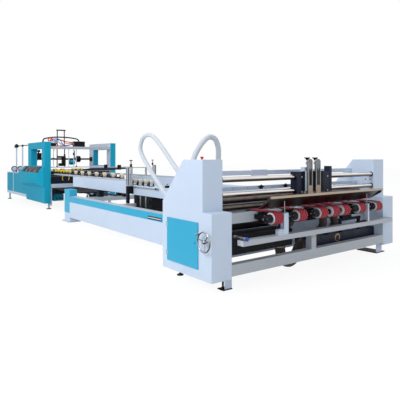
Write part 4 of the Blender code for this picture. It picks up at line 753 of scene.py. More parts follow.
def tailSupportRail():
    # a slab with plates folded from thinner slabs on top, and rods with nuts up to the tray
    print("tail support rail")
    rail = slab((0.3792, 3.59), (-0.10, 0.0), (0.52, 0.583))
    addPiece("supportRail", rail, greyPaint, replaces="tail_support_rail", slotName="white_paint", bevel=0.003)
    addPiece(
        "supportRailEnd", slab((0.378, 0.380), (-0.0985, -0.0015), (0.5215, 0.5815)), whitePlastic, bevel=0.0006,
    )
    # L brackets: a front plate, a side plate and a top, with a low foot beside the near one
    plates = [slab((0.96, 1.054), (-0.098, -0.045), (0.583, 0.652))]
    for low, high in ((1.05, 1.14), (2.88, 2.93)):
        plates.append(slab((low, high), (-0.098, -0.090), (0.583, 0.85)))
        plates.append(slab((low, low + 0.008), (-0.098, -0.045), (0.583, 0.85)))
        plates.append(slab((low, high), (-0.098, -0.045), (0.842, 0.85)))
    addPiece("trayBrackets", plates, whitePaint, bevel=0.002)
    rods = []
    for middle in (1.095, 2.905):
        rods.append(bar((middle, -0.07, 0.80), (middle, -0.07, 0.9905), 0.006, 16))
        rods.append(
            turned((middle, -0.07, 0.85), (middle, -0.07, 0.862), [(0, 0.012), (0.010, 0.012), (0.012, 0.010)], 6)
        )
    addPiece("trayRods", rods, zincSteel, smooth=30)
    heads = [(x, -0.098, z) for x in (0.985, 1.025) for z in (0.605, 0.632)]
    addPiece("bracketBolts", bolts(heads, (0, -1, 0), 0.006, 0.0012), darkPaint)
    addPiece("railShadowSlot", slab((2.66, 2.88), (-0.098, -0.045), (0.583, 0.600)), darkPaint, bevel=0.002)


tray = {"front": (-0.150, 1.060), "rear": (0.050, 0.900), "sheet": 0.005, "x": (0.763, 3.215), "lip": 0.024}


def sheetTray():
    # a bent sheet drawn from the side, with two folded ends and a pale edging on its lip
    print("sheet tray")
    (frontY, frontZ), (rearY, rearZ) = tray["front"], tray["rear"]
    thick, (low, high) = tray["sheet"], tray["x"]
    run = math.hypot(rearY - frontY, rearZ - frontZ)
    upY, upZ = (frontZ - rearZ) / run * thick, (rearY - frontY) / run * thick
    outline = [
        (frontY, frontZ), (rearY, rearZ), (rearY + upY, rearZ + upZ), (frontY + upY, frontZ + upZ + 0.002),
        (frontY - 0.0032, frontZ + upZ + 0.002), (
            frontY - 0.0032, frontZ - tray["lip"],
        ), (frontY, frontZ - tray["lip"]),
    ]
    addPiece(
        "traySheet", prism(outline, "x", (low, high)), traySteel, replaces="tray", slotName="steel", bevel=0.001,
    )
    fold = [(frontY - 0.002, frontZ + 0.002), (rearY, rearZ + 0.003), (frontY + 0.03, frontZ - 0.062)]
    folds = joined(prism(fold, "x", (low, low + thick)), prism(fold, "x", (high - thick, high)))
    addPiece("trayFolds", folds, traySteel, bevel=0.001)
    edging = slab(
        (low + 0.0005, high - 0.0005), (frontY - thick, frontY - 0.0030), (frontZ - 0.0235, frontZ + 0.0055),
    )
    addPiece("trayEdging", edging, beigeTrim, bevel=0.0006)


def railCylinder():
    # profiles turned about one line along y, and two hexagonal fittings on top
    print("rail cylinder")
    x, z = 0.41, 0.6033
    barrel = [
        (0, 0.012), (0.001, 0.0185), (0.004, 0.020), (0.022, 0.020), (0.024, 0.0175), (0.178, 0.0175),
        (0.180, 0.020),
    ]
    barrel += [(0.198, 0.020), (0.201, 0.0185), (0.202, 0.010)]
    body = turned((x, -0.112, z), (x, 0.09, z), barrel, 28)
    addPiece("railCylinderBody", body, zincSteel, replaces="rail_cylinder", slotName="steel", smooth=30)
    cap = [(0, 0.018), (0.003, 0.0225), (0.006, 0.023), (0.024, 0.023), (0.027, 0.021)]
    addPiece("railCylinderCap", turned((x, -0.137, z), (x, -0.110, z), cap, 28), bluePlastic, smooth=30)
    fitting = joined(
        bar((x, 0.050, z + 0.012), (x, 0.050, z + 0.0226), 0.008, 6),
        bar((x, 0.076, z + 0.012), (x, 0.076, z + 0.0226), 0.008, 6),
    )
    addPiece("railCylinderFitting", fitting, brass, smooth=30)


# feed belts

beltSet = {
    "faces": (0.82, 1.268, 1.693, 1.955, 2.197, 2.584, 3.016),
    "hubs": (0.13, 0.115, 0.13, 0.03, 0.03, 0.13, 0.07),
    "width": 0.15,
    "axisY": -0.10,
    "axisZ": 0.80,
    "rearY": 0.28,
    "radius": 0.075,
    "thickness": 0.006,
    "pitch": 0.046,
}


def beltMaterial():
    # crimson rubber: the studs keep the crimson and the grooves go near black as painted shade, from the belt's own
    # map
    made, tree, shader = newTree("beltRubber")
    height = addNode(tree, "Attribute", attribute_name="stud").outputs["Fac"]
    spread = ramp(tree, height, 0.25, 0.95)
    place = addNode(tree, "TexCoord").outputs["Object"]
    grime = noise(tree, place, 38, 5)
    # painted shade: near black where the stud height is low, crimson on the studs
    tone = mix(tree, spread, (0.030, 0.003, 0.006, 1), (0.56, 0.028, 0.056, 1))
    dirt = ramp(tree, grime, 0.45, 0.75, 0.0, 0.20)
    worn = mix(tree, dirt, tone, (0.55, 0.14, 0.17, 1))
    shader.inputs["Specular IOR Level"].default_value = 0.25
    dress(tree, shader, worn, ramp(tree, spread, 0.0, 1.0, 0.70, 0.48), grime, 0.2, 0.0006)
    return made


def beltRoute(count):
    # the belt's outer line: two half circles joined by straight runs, at even steps
    b = beltSet
    straight = b["rearY"] - b["axisY"]
    arc = math.pi * b["radius"]
    s = np.linspace(0, 2 * (straight + arc), count, endpoint=False)
    top, rear, bottom = s < straight, s < straight + arc, s < 2 * straight + arc
    angle = np.where(rear, s - straight, s - 2 * straight - arc) / b["radius"]
    sine, cosine = np.sin(angle), np.cos(angle)
    outY = np.select((top, rear, bottom), (0.0, sine, 0.0), -sine)
    outZ = np.select((top, rear, bottom), (1.0, cosine, -1.0), -cosine)
    ends = b["rearY"] + b["radius"] * sine, b["axisY"] - b["radius"] * sine
    y = np.select((top, rear, bottom), (b["axisY"] + s, ends[0], b["rearY"] - (s - straight - arc)), ends[1])
    z = b["radius"] * outZ
    return s, y, b["axisZ"] + z, outY, outZ


def studdedBelt(face):
    # outer face: rows of diamond studs, the height a product of two slanted ridges; inner face: smooth
    b = beltSet
    around = 336
    s, y, z, outY, outZ = beltRoute(around)
    length = 2 * (b["rearY"] - b["axisY"] + math.pi * b["radius"])
    rows = round(length / b["pitch"])
    x = np.linspace(0, b["width"], 37)
    sGrid, xGrid = np.meshgrid(s, x, indexing="ij")
    phase = sGrid / length * rows
    first = np.abs(((phase + xGrid / b["pitch"]) % 1.0) - 0.5) * 2
    second = np.abs(((phase - xGrid / b["pitch"]) % 1.0) - 0.5) * 2
    stud = np.clip(2.4 * (1 - np.maximum(first, second)), 0, 1)
    edge = np.minimum(xGrid, b["width"] - xGrid) < 0.003
    stud = np.where(edge, 0.0, stud)
    lift = -0.0036 + 0.0034 * stud
    outer = np.stack((face + xGrid, y[:, None] + outY[:, None] * lift, z[:, None] + outZ[:, None] * lift), -1)
    inX = np.array((b["width"], 0.0))
    inner = np.stack(
        (
            np.broadcast_to(face + inX, (around, 2)),
            np.broadcast_to((y - outY * b["thickness"])[:, None], (around, 2)),
            np.broadcast_to((z - outZ * b["thickness"])[:, None], (around, 2)),
        ),
        -1,
    )
    columns = len(x) + 2
    points = np.concatenate((outer, inner), axis=1).reshape(-1, 3)
    faces = gridFaces(around, columns, True, True)
    height = np.concatenate((stud, np.full((around, 2), 0.3)), axis=1).ravel()
    return (points, faces), height


def feedBelts():
    # for each belt its studded loop, two drums, a flange, two frame plates and its turned hub
    print("feed belts")
    rubber = beltMaterial()
    b, longHub = beltSet, 0.05
    flanges, hubs, plates, heads, pulleys = [], [], [], [], []
    for number, (face, hub) in enumerate(zip(b["faces"], b["hubs"])):
        shape, height = studdedBelt(face)
        node = f"feed_belt_{number + 1}"
        piece = addPiece(
            f"feedBelt{number + 1}", shape, rubber, replaces=node, slotName="crimson_rubber", smooth=60,
        )
        # the stud heights, which the rubber also uses for its painted groove shade
        layer = piece.data.attributes.new("stud", "FLOAT", "POINT")
        layer.data.foreach_set("value", height.astype(np.float32))
        axis = (b["axisY"], b["axisZ"])
        inside = b["radius"] - b["thickness"] - 0.0006
        ring = [(0, 0.050), (0.0005, inside + 0.002), (0.012, inside + 0.002), (0.016, inside - 0.004)]
        flanges.append(turned((face - 0.006, *axis), (face + 0.010, *axis), ring, 48))
        drum = [(0, inside - 0.003), (0.002, inside), (0.139, inside), (0.141, inside - 0.003)]
        near, far, z = face + 0.006, face + b["width"] - 0.003, b["axisZ"]
        pulleys += [turned((near, y, z), (far, y, z), drum, 40) for y in (b["axisY"], b["rearY"])]
        width = (face + 0.012, face + b["width"] - 0.012)
        plates += [
            slab(width, y, (0.752, 0.848))
            for y in ((b["axisY"] + 0.03, 0.1296), (0.2105, b["rearY"] - 0.03))
        ]
        start, outwards = face - hub, (-1, 0, 0)
        if hub > longHub:
            body = [(0, 0.030), (0.003, 0.034), (0.020, 0.036), (0.024, 0.048), (0.030, 0.0515)]
            body += [(hub - 0.012, 0.0515), (hub - 0.006, 0.046), (hub - 0.004, 0.046)]
            hubs.append(turned((start, *axis), (face - 0.004, *axis), body, 36))
            hubs.append(slab((face - 0.048, face - 0.008), (b["axisY"], 0.129), (0.777, 0.833)))
            for k in range(5):
                angle = 0.4 + k * 2 * math.pi / 5
                place = (start + 0.024, axis[0] + 0.042 * math.cos(angle), axis[1] + 0.042 * math.sin(angle))
                heads.append(hexBolt(place, outwards, 0.005, 0.005))
            heads.append(hexBolt((start + 0.003, *axis), outwards, 0.012, 0.006))
        else:
            cap = [(0, 0.020), (0.004, 0.034), (hub - 0.006, 0.036), (hub - 0.004, 0.030)]
            hubs.append(turned((start, *axis), (face - 0.004, *axis), cap, 32))
            heads.append(hexBolt((start + 0.001, *axis), outwards, 0.011, 0.006))
    addPiece("beltFlanges", flanges, whitePlastic, smooth=30)
    addPiece("beltPulleys", pulleys, zincSteel, smooth=30)
    addPiece("beltFrames", plates, darkPaint, bevel=0.002)
    addPiece("beltHubs", hubs, darkPaint, smooth=30)
    addPiece("beltHubBolts", heads, zincSteel)


# gates and carriages

carriageSet = {
    "left": {
        "x": (1.60, 1.741), "post": (1.739, 1.794), "head": (0.148, 0.208), "top": 1.396, "arm": (1.709, 1.872),
    },
    "right": {
        "x": (2.109, 2.309), "post": (2.307, 2.357), "head": (0.148, 0.245), "top": 1.405, "arm": (1.886, 2.139),
    },
    "y": (0.150, 0.270),
    "z": (1.04, 1.335),
}


def boreGrid(y, z, half):
    # the lines of a plate's cells, with square cells of that half width round the rods
    rodY, upper, lower = rodSet["y"], rodSet["upper"], rodSet["lower"]
    return [y[0], rodY - half, rodY + half, y[1]], [
        z[0], lower - half, lower + half, upper - half, upper + half, z[1],
    ]


def carriages():
    # each block is a plate of cells with two empty ones where the rods run, lined with rings
    print("carriages")
    y, z = carriageSet["y"], carriageSet["z"]
    keep = np.ones((3, 5), bool)
    keep[1, 1] = keep[1, 3] = False
    for side, finish in (("left", whitePaint), ("right", navyPaint)):
        c = carriageSet[side]
        body, x = side + "_carriage", c["x"]
        ys, zs = boreGrid(y, z, 0.036)
        block = cellPlate(ys, zs, keep, "x", x)
        addPiece(
            side + "CarriageBlock", block, navyPaint, body, "carriage_" + side, "navy_paint", 0.004, segments=3,
        )
        linings = []
        for rodZ in (rodSet["upper"], rodSet["lower"]):
            for start, end in ((x[0] + 0.0002, x[0] + 0.03), (x[1] - 0.03, x[1] + 0.001)):
                inner, outer = 0.0344, 0.0495
                ring = [(0, inner), (0, outer), (end - start, outer), (end - start, inner)]
                linings.append(sleeve((start, rodSet["y"], rodZ), (end, rodSet["y"], rodZ), ring, 36))
        addPiece(side + "CarriageLinings", linings, darkPaint, body, smooth=30)
        ys, zs = boreGrid((0.148, y[1] - 0.008), (z[0] + 0.005, z[1] - 0.005), 0.0345)
        head = slab(c["post"], c["head"], (z[1] - 0.015, c["top"]))
        addPiece(
            side + "CarriagePost", joined(cellPlate(ys, zs, keep, "x", c["post"]), head), finish, body, bevel=0.003,
        )
        heads = [(x[1] - 0.045, y[0], rodZ) for rodZ in (1.262, 1.06)]
        addPiece(side + "CarriageBolts", bolts(heads, (0, -1, 0), 0.013, 0.0018), greyPaint, body)
        addPiece(side + "CarriageArm", slab(c["arm"], (0.1303, 0.158), (1.07, 1.34)), darkPaint, body, bevel=0.002)
        front = slab(c["post"], (0.1301, 0.1592), (1.069, 1.341)) if side == "left" else slab(
            (2.311, 2.354), (0.1465, 0.150), (1.06, 1.37),
        )
        addPiece(side + "CarriagePostFront", front, finish, body, bevel=0.001)
    cap = slab((2.309, 2.355), (0.150, 0.243), (1.384, 1.4048))
    addPiece("rightCarriageCap", cap, greyPaint, "right_carriage", bevel=0.001)


def gates():
    # each gate: an arched plate, two rails and a pale wear piece on its face, a flat black knob on a screw behind it
    print("gates")
    for name, node, body, low, high in (
        ("leftGate", "gate_left", "left_gate", 1.768, 1.866),
        ("rightGate", "gate_right", "right_gate", 1.934, 2.042),
    ):
        middle, half = (low + high) / 2, (high - low) / 2
        angle = np.linspace(0, math.pi, 17)
        arch = np.stack((middle + half * np.cos(angle), 1.508 - 0.7 * half + 0.7 * half * np.sin(angle)), -1)
        outline = np.concatenate(([(low, 0.905), (high, 0.905)], arch))
        addPiece(name + "Plate", prism(outline, "y", (0.104, 0.1297)), gateSteel, body, node, "steel", 0.0025)
        rails = [slab((a, a + 0.012), (0.1005, 0.105), (1.135, 1.455)) for a in (low + 0.004, high - 0.016)]
        addPiece(name + "Rails", rails, zincSteel, body, bevel=0.001)
        wear = slab((low + 0.003, high - 0.003), (0.1003, 0.105), (0.908, 1.14))
        addPiece(name + "Wear", wear, beigeTrim, body, bevel=0.001)
        slots = [
            slab((a, a + 0.018), (0.1034, 0.105), (1.150, z))
            for a, z in ((low + 0.022, 1.375), (middle - 0.009, 1.352), (high - 0.040, 1.375))
        ]
        addPiece(name + "Slots", slots, darkPaint, body, bevel=0.0006)
        bracket = slab((middle - 0.017, middle + 0.017), (0.125, 0.172), (1.43, 1.468))
        screw = bar((middle, 0.160, 1.372), (middle, 0.160, 1.494), 0.007, 16)
        addPiece(name + "Bracket", joined(bracket, screw), zincSteel, body, bevel=0.001)
        profile = [
            (0, 0.010), (0.002, 0.013), (0.027, 0.026), (0.0285, 0.037), (0.031, 0.040), (0.039, 0.040),
            (0.042, 0.036),
        ]
        addPiece(
            name + "Knob", turned((middle, 0.160, 1.486), (middle, 0.160, 1.528), profile, 28), blackPlastic, body,
            smooth=30,
        )
    addPiece(
        "gateScale", slab((1.936, 1.946), (0.1003, 0.1012), (1.368, 1.462)), cyanTape, "right_gate", bevel=0.0003,
    )
    addPiece("gateScaleMark", slab((1.9355, 1.9465), (0.1001, 0.1011), (1.410, 1.418)), orangeWire, "right_gate")


# suction boxes and hoses


def suctionBoxes():
    # slabs with low ribs, and circles carried along curves whose radius swells at each rib
    print("suction boxes and hoses")
    y = (0.1525, 0.45)
    ribs = [slab((x, x + 0.012), (0.150, 0.153), (0.375, 0.585)) for x in np.arange(0.5, 1.45, 0.24)]
    addPiece(
        "leftSuctionBox", slab((betweenHousings[0], 1.50), y, (0.37, 0.59)), darkPaint, replaces="left_suction_box",
        slotName="brown_hose", bevel=0.004,
    )
    addPiece("leftSuctionRibs", ribs, darkPaint, bevel=0.0008)
    ribs = [slab((x, x + 0.012), (0.150, 0.153), (0.221, 0.418)) for x in np.arange(2.1, 3.4, 0.26)]
    addPiece(
        "rightSuctionBox", slab((1.90, betweenHousings[1]), y, (0.216, 0.423)), navyPaint,
        replaces="right_suction_box", slotName="dark_paint", bevel=0.004,
    )
    addPiece("rightSuctionRibs", ribs, navyPaint, bevel=0.0008)
    port = sleeve(
        (2.50, 0.1535, 0.352), (2.50, 0.1502, 0.352), [(0, 0.044), (0, 0.060), (0.003, 0.058), (0.003, 0.046)], 32,
    )
    addPiece("rightSuctionPort", port, brass, smooth=30)
    gear = [slab((2.62, 3.18), (0.20, 0.235), (0.572, 0.612)), slab((2.68, 2.92), (0.19, 0.245), (0.600, 0.645))]
    gear += [slab((x, x + 0.04), (0.20, 0.235), (0.42, 0.58)) for x in (2.64, 3.12)]
    addPiece("feedGearPlate", gear, darkPaint, bevel=0.003)
    branches = []
    for belt, lean, boxTop, low in ((1, 0.0, 0.59, 0.66), (3, 0.02, 0.423, 0.58), (4, 0.05, 0.423, 0.58)):
        middle = beltSet["faces"][belt] + beltSet["width"] / 2
        knots = [(middle, 0.06, 0.7245), (middle, 0.06, 0.69)]
        knots.append((middle, 0.17, 0.63) if boxTop > 0.5 else (middle + lean, 0.08, low))
        knots += [(middle + lean, 0.23, boxTop - 0.02), (middle + lean, 0.23, boxTop - 0.05)]
        branches.append(ribbed(smoothPath(knots, 90), 0.055, 0.018, 0.0045, 24, (1.0, 0.0, 0.0)))
    addPiece("branchHoses", branches, brownHose, smooth=50)
    bow = [
        (1.41, 0.29, 0.3697), (1.41, 0.29, 0.32), (1.44, 0.29, 0.20), (1.52, 0.29, 0.12), (1.62, 0.29, 0.105),
        (1.71, 0.29, 0.155), (1.77, 0.29, 0.25), (1.85, 0.29, 0.319), (1.8997, 0.29, 0.319),
    ]
    hose = ribbed(smoothPath(bow, 260), 0.07, 0.020, 0.005, 28, (0.0, 1.0, 0.0))
    addPiece("suctionHose", hose, brownHose, replaces="suction_hose", slotName="brown_hose", smooth=50)
    ring = [(0, 0.066), (0, 0.0725), (0.015, 0.0725), (0.015, 0.066)]
    clamps = joined(
        sleeve((1.41, 0.29, 0.330), (1.41, 0.29, 0.345), ring, 36),
        sleeve((1.870, 0.29, 0.319), (1.885, 0.29, 0.319), ring, 36),
    )
    addPiece("suctionHoseClamps", clamps, zincSteel, smooth=30)


airHoses = {
    "rear": [
        (0.83, 1.88, 0.6203), (0.83, 1.88, 0.69), (0.83, 1.96, 0.775), (0.83, 2.26, 0.98), (0.83, 2.86, 1.46),
        (0.83, 3.035, 1.68), (0.83, 2.94, 1.875), (0.83, 2.69, 1.915), (0.83, 2.42, 1.77), (0.83, 1.935, 1.379),
        (0.83, 1.42, 1.00), (0.83, 1.17, 0.86), (0.83, 1.04, 0.84), (0.83, 0.9893, 0.84),
    ],
    "front": [
        (0.349, 0.85, 0.9483), (0.349, 0.85, 1.20), (0.385, 0.85, 1.50), (0.50, 0.85, 1.69), (0.64, 0.85, 1.80),
        (0.75, 0.85, 1.77), (0.803, 0.85, 1.65), (0.803, 0.85, 1.50), (0.803, 0.85, 1.20), (0.803, 0.85, 0.9483),
    ],
    "radius": 0.0375,
    "pitch": 0.0125,
    "groove": 0.0016,
}
cable = {
    "route": [
        (1.185, 9.70, 2.0183), (1.185, 9.70, 2.07), (1.22, 9.685, 2.125), (1.48, 9.60, 2.175), (1.85, 9.51, 2.175),
        (2.14, 9.42, 2.13), (2.20, 9.40, 2.075), (2.20, 9.40, 2.0233),
    ],
    "radius": 0.02,
}


def collar(seat, way, radius, finish, name):
    # the short ring that a hose stands in
    seat, way = np.array(seat, float), np.array(way, float)
    inner, outer, height = radius + 0.002, radius + 0.010, 0.028
    ring = [(0, inner), (0, outer), (height - 0.003, outer), (height, outer - 0.003), (height, inner)]
    addPiece(name, sleeve(seat, seat + way * height, ring, 32), finish, smooth=30)


def whiteAirHoses():
    # each hose a circle carried along its arch, its radius swelling and narrowing at an even pitch
    print("air hoses")
    h = airHoses
    for name, node, lean, count in (
        ("rear", "rear_air_hose", (1.0, 0.0, 0.0), 1500),
        ("front", "front_air_hose", (0.0, 1.0, 0.0), 900),
    ):
        path = smoothPath(h[name], count)
        shape = ribbed(path, h["radius"], h["pitch"], h["groove"], 20, lean)
        made = addPiece(name + "AirHose", shape, airHosePlastic, replaces=node, slotName="white_hose", smooth=50)
    for number, (seat, way) in enumerate((
        ((0.83, 1.88, 0.622), (0, 0, 1)),
        ((0.83, 0.991, 0.84), (0, 1, 0)),
        ((0.349, 0.85, 0.95), (0, 0, 1)),
        ((0.803, 0.85, 0.95), (0, 0, 1)),
    )):
        collar(seat, way, h["radius"], greyPaint, f"airHoseCollar{number + 1}")


def cableArc():
    # a circle carried along the cable's arc, with a collar at each end
    print("cable between the portals")
    path = smoothPath(cable["route"], 110)
    made = addPiece(
        "cableBundle", pipe(path, cable["radius"] - 0.0005, 18, (0.2, 1.0, 0.0)), blackPlastic,
        replaces="cable_bundle", slotName="black_cable", smooth=50,
    )
    collar((1.185, 9.70, 2.02), (0, 0, 1), cable["radius"], blackPlastic, "cableCollar1")
    collar((2.20, 9.40, 2.025), (0, 0, 1), cable["radius"], blackPlastic, "cableCollar2")


# folding section

foldingCentre = 2.20


def sideFrames():
    # each sill and its end post as slabs on plates, the far ones mirrored about the middle
    print("side frames")
    for name, node, centre in (("near", "near_side_frame", None), ("far", "far_side_frame", foldingCentre)):
        put = pairPlacer(name, centre)
        body = slab((0.74, 0.92), (0.9913, 6.251), (0.125, 0.490))
        put("SillBody", body, whitePaint, replaces=node, slotName="white_paint", bevel=0.006)
        put("SillTop", slab((0.739, 0.921), (0.9913, 6.251), (0.490, 0.6205)), tealPaint, bevel=0.004)
        put("SillTread", slab((0.744, 0.916), (0.996, 6.240), (0.6195, 0.622)), greyPaint, bevel=0.0008)
        put("PostTop", slab((0.739, 0.921), (6.243, 6.59), (0.229, 0.78)), tealPaint, bevel=0.006)
        low = [
            slab((0.742, 0.918), (6.25, 6.585), (0.009, 0.229)),
            slab((0.742, 0.918), (0.9923, 1.29), (0.009, 0.128)),
        ]
        put("PostFeet", low, whitePaint, bevel=0.004)
        feet = [slab((0.72, 1.03), (6.29, 6.73), (0.0, 0.018)), slab((0.72, 1.03), (1.0113, 1.3313), (0.0, 0.018))]
        put("FootPlates", feet, whitePaint, bevel=0.002)
        heads = [(0.98, y, 0.018) for y in (6.33, 6.69, 1.05, 1.29)] + [(0.76, 6.69, 0.018)]
        put("FootBolts", bolts(heads, (0, 0, 1), 0.014, 0.012), zincSteel)
    slot = slab((0.7375, 0.740), (2.19, 2.62), (0.505, 0.556))
    addPiece("sillSlot", slot, blackPlastic, bevel=0.0006)
    addPiece("sillSlotLines", slab((0.7368, 0.738), (2.20, 2.61), (0.523, 0.5365)), whitePlastic)
    addPiece("sillSlotMarks", slab((0.7366, 0.738), (2.20, 2.61), (0.5375, 0.5405)), redPlastic)


def crossRails():
    # each rail a slab in its CAD node's box
    print("cross rails")
    for number in range(1, 4):
        beam(f"crossRail{number}", f"cross_rail_{number}", greyPaint, slotName="white_paint")


beamSet = {
    "x": (1.30, 1.48),
    "first": ((1.15, 4.44), (0.775, 0.965)),
    "second": ((4.43, 7.51), (0.775, 1.03)),
    "pedestals": ((2.31, 2.41), (4.07, 4.19), (5.91, 6.03)),
    "nearMastY": 4.15,
    "farMastY": 6.45,
    "rollersY": (3.60, 3.82, 4.04, 4.26),
    "clipsY": (2.62, 2.86, 3.10, 3.34),
}


bankBase = 1.0303


def wheelOn(y, z, radius, base):
    # a roller across x with rounded shoulders, the fork that holds it and its pin
    half = 0.038
    ring = [
        (0, radius * 0.80), (0.004, radius * 0.95), (0.014, radius - 0.0005), (2 * half - 0.014, radius - 0.0005),
    ]
    ring += [(2 * half - 0.004, radius * 0.95), (2 * half, radius * 0.80)]
    wheel = turned((1.39 - half, y, z), (1.39 + half, y, z), ring, 28)
    cheek = [
        (y - 0.021, base), (y + 0.021, base), (y + 0.019, z), (y + 0.010, z + 0.018), (y - 0.010, z + 0.018),
        (y - 0.019, z),
    ]
    fork = [prism(cheek, "x", (x, x + 0.009)) for x in (1.337, 1.434)]
    fork.append(slab((1.337, 1.443), (y - 0.030, y + 0.030), (base, base + 0.008)))
    return wheel, joined(*fork), bar((1.3355, y, z), (1.4445, y, z), 0.010, 16)


def foldingBeams():
    # two slabs make a beam; mast, gearbox and pedestals stand under and beside it, and the screw is a turned
    # saw-tooth
    print("folding beams")
    b = beamSet
    for name, node, body, far in (
        ("near", "near_folding_beam", "near_beam", False),
        ("far", "far_folding_beam", "far_beam", True),
    ):
        put = pairPlacer(name, foldingCentre if far else None, body)
        mastY = b["farMastY"] if far else b["nearMastY"]
        low, high = mastY, mastY + 0.06
        middle = (low + high) / 2
        beams = joined(slab(b["x"], *b["first"]), slab(b["x"], *b["second"]))
        put("Beam", beams, whitePaint, replaces=node, slotName="white_paint", bevel=0.005)
        legs = [slab((1.33, 1.45), y, (0.6003, 0.785)) for y in b["pedestals"]]
        put("Pedestals", legs, darkPaint, bevel=0.003)
        clamps = [slab((1.33, 1.45), (y, y + 0.12), (0.695, 0.778)) for y in (4.63, 4.91)]
        put("BeamClamps", clamps, darkPaint, bevel=0.003)
        gearbox = joined(
            slab((1.292, 1.508), (3.425, 4.025), (0.52, 0.776)),
            slab((1.27, 1.53), (3.42, 3.50), (0.505, 0.55)),
            slab((1.27, 1.53), (3.95, 4.03), (0.505, 0.55)),
            slab((1.30, 1.50), (3.55, 3.90), (0.50, 0.53)),
        )
        put("Gearbox", gearbox, darkPaint, bevel=0.005)
        covers = [
            turned((1.2925, y, z), (1.272, y, z), [(0, r), (0.016, r), (0.020, r - 0.005)], 28)
            for y, z, r in ((3.52, 0.67, 0.050), (3.96, 0.68, 0.045))
        ]
        put("GearboxCovers", covers, darkPaint, smooth=30)
        uprights = [bar((1.289, y, 0.56), (1.289, y, 0.765), 0.018, 20) for y in (3.63, 3.84)]
        put("GearboxBars", uprights, zincSteel, smooth=30)
        plate = joined(
            slab((1.155, 1.31), (low, high), (0.802, 0.953)),
            slab((1.153, 1.30), (low + 0.005, high - 0.005), (0.80, 0.955)),
        )
        put("MastPlate", plate, darkPaint, bevel=0.002)
        put("Mast", slab((1.153, 1.214), (low, high), (0.950, 1.345)), greyPaint, bevel=0.004)
        put("MastFoot", slab((1.154, 1.213), (low + 0.001, high - 0.001), (0.606, 0.952)), navyPaint, bevel=0.003)
        trim = joined(
            slab((1.176, 1.191), (low, low + 0.004), (0.98, 1.33)),
            slab((1.153, 1.156), (low + 0.02, high - 0.02), (0.98, 1.33)),
        )
        put("MastGroove", trim, darkPaint, bevel=0.0008)
        rings = [(0.0, 0.0125)]
        for z in np.arange(0.006, 0.50, 0.006):
            rings += [(z, 0.0125), (z + 0.003, 0.014)]
        screw = turned(
            (1.255, middle, 0.945), (1.255, middle, 1.467), rings + [(0.51, 0.0125), (0.522, 0.0125)], 14,
        )
        put("MastScrew", screw, zincSteel, smooth=30)
        nut = bar((1.255, middle, 1.345), (1.255, middle, 1.40), 0.024, 20)
        put("MastNut", nut, blackPlastic, smooth=30)
        knob = turned(
            (1.255, middle, 1.464), (1.255, middle, 1.484),
            [(0, 0.020), (0.003, 0.0325), (0.006, 0.034), (0.015, 0.034), (0.019, 0.031), (0.020, 0.012)], 24,
        )
        put("MastKnob", knob, blackPlastic, smooth=35)
    pipeLine = joined(
        bar((1.27, 3.15, 0.94), (1.27, 4.158, 0.94), 0.011, 16),
        turned(
            (1.27, 3.15, 0.94), (1.27, 3.35, 0.94), [(0, 0.0115), (0.002, 0.012), (0.198, 0.012), (0.20, 0.0115)],
            6,
        ),
    )
    addPiece("nearSidePipe", pipeLine, zincSteel, "near_beam", smooth=30)
    addPiece(
        "nearSidePipeClip", slab((1.258, 1.305), (3.202, 3.258), (0.924, 0.956)), blackPlastic, "near_beam",
        bevel=0.002,
    )
    rollers = [wheelOn(y, 1.055, 0.045, 0.9645) for y in b["rollersY"]]
    addPiece("nearFrontWheels", [r[0] for r in rollers], creamRubber, "near_beam", smooth=35)
    addPiece("nearFrontForks", [r[1] for r in rollers], blackPlastic, "near_beam", bevel=0.0015)
    addPiece("nearFrontPins", [r[2] for r in rollers], zincSteel, "near_beam", smooth=30)
    clips = [slab((1.40, 1.47), (y - 0.03, y + 0.03), (0.9645, 1.005)) for y in b["clipsY"]]
    addPiece("nearFrontClips", clips, blackPlastic, "near_beam", bevel=0.003)
    knobs = [
        turned(
            (1.435, y, 1.003), (1.435, y, 1.045),
            [(0, 0.008), (0.018, 0.008), (0.020, 0.019), (0.038, 0.019), (0.042, 0.014)], 18,
        )
        for y in b["clipsY"]
    ]
    addPiece("nearFrontKnobs", knobs, zincSteel, "near_beam", smooth=30)


def rollerBank():
    # rollers at an even pitch on a rail, each between the cheeks of its fork
    print("roller bank")
    base, firstY, pitch = bankBase, 4.85, 0.45
    addPiece(
        "nearBankRail", slab((1.35, 1.43), (4.60, 9.19), (base, base + 0.045)), greyPaint, "near_beam",
        "near_roller_bank", "white_paint", 0.003,
    )
    # the last six rollers are smaller and yellow, two to a pitch
    rollers = [wheelOn(firstY + number * pitch, 1.135, 0.055, base + 0.044) for number in range(7)]
    rollers += [wheelOn(8.0 + number * pitch / 2, 1.150, 0.034, base + 0.044) for number in range(6)]
    addPiece("nearBankCreamWheels", [r[0] for r in rollers[:7]], creamRubber, "near_beam", smooth=35)
    addPiece("nearBankYellowWheels", [r[0] for r in rollers[7:]], yellowRubber, "near_beam", smooth=35)
    addPiece("nearBankForks", [r[1] for r in rollers], blackPlastic, "near_beam", bevel=0.0015)
    addPiece("nearBankPins", [r[2] for r in rollers], zincSteel, "near_beam", smooth=30)
    brackets, knobs = [], []
    for number in range(7):
        y = firstY + (number + 0.5) * pitch
        brackets.append(slab((1.352, 1.428), (y - 0.075, y + 0.045), (base + 0.044, base + 0.078)))
        brackets.append(slab((1.356, 1.372), (y - 0.020, y + 0.020), (base + 0.07, base + 0.135)))
        knobs.append(
            turned(
                (1.353, y, base + 0.112), (1.334, y, base + 0.112),
                [(0, 0.012), (0.006, 0.018), (0.016, 0.018), (0.019, 0.014)], 16,
            )
        )
    addPiece("nearBankBrackets", brackets, blackPlastic, "near_beam", bevel=0.002)
    addPiece("nearBankKnobs", knobs, zincSteel, "near_beam", smooth=30)


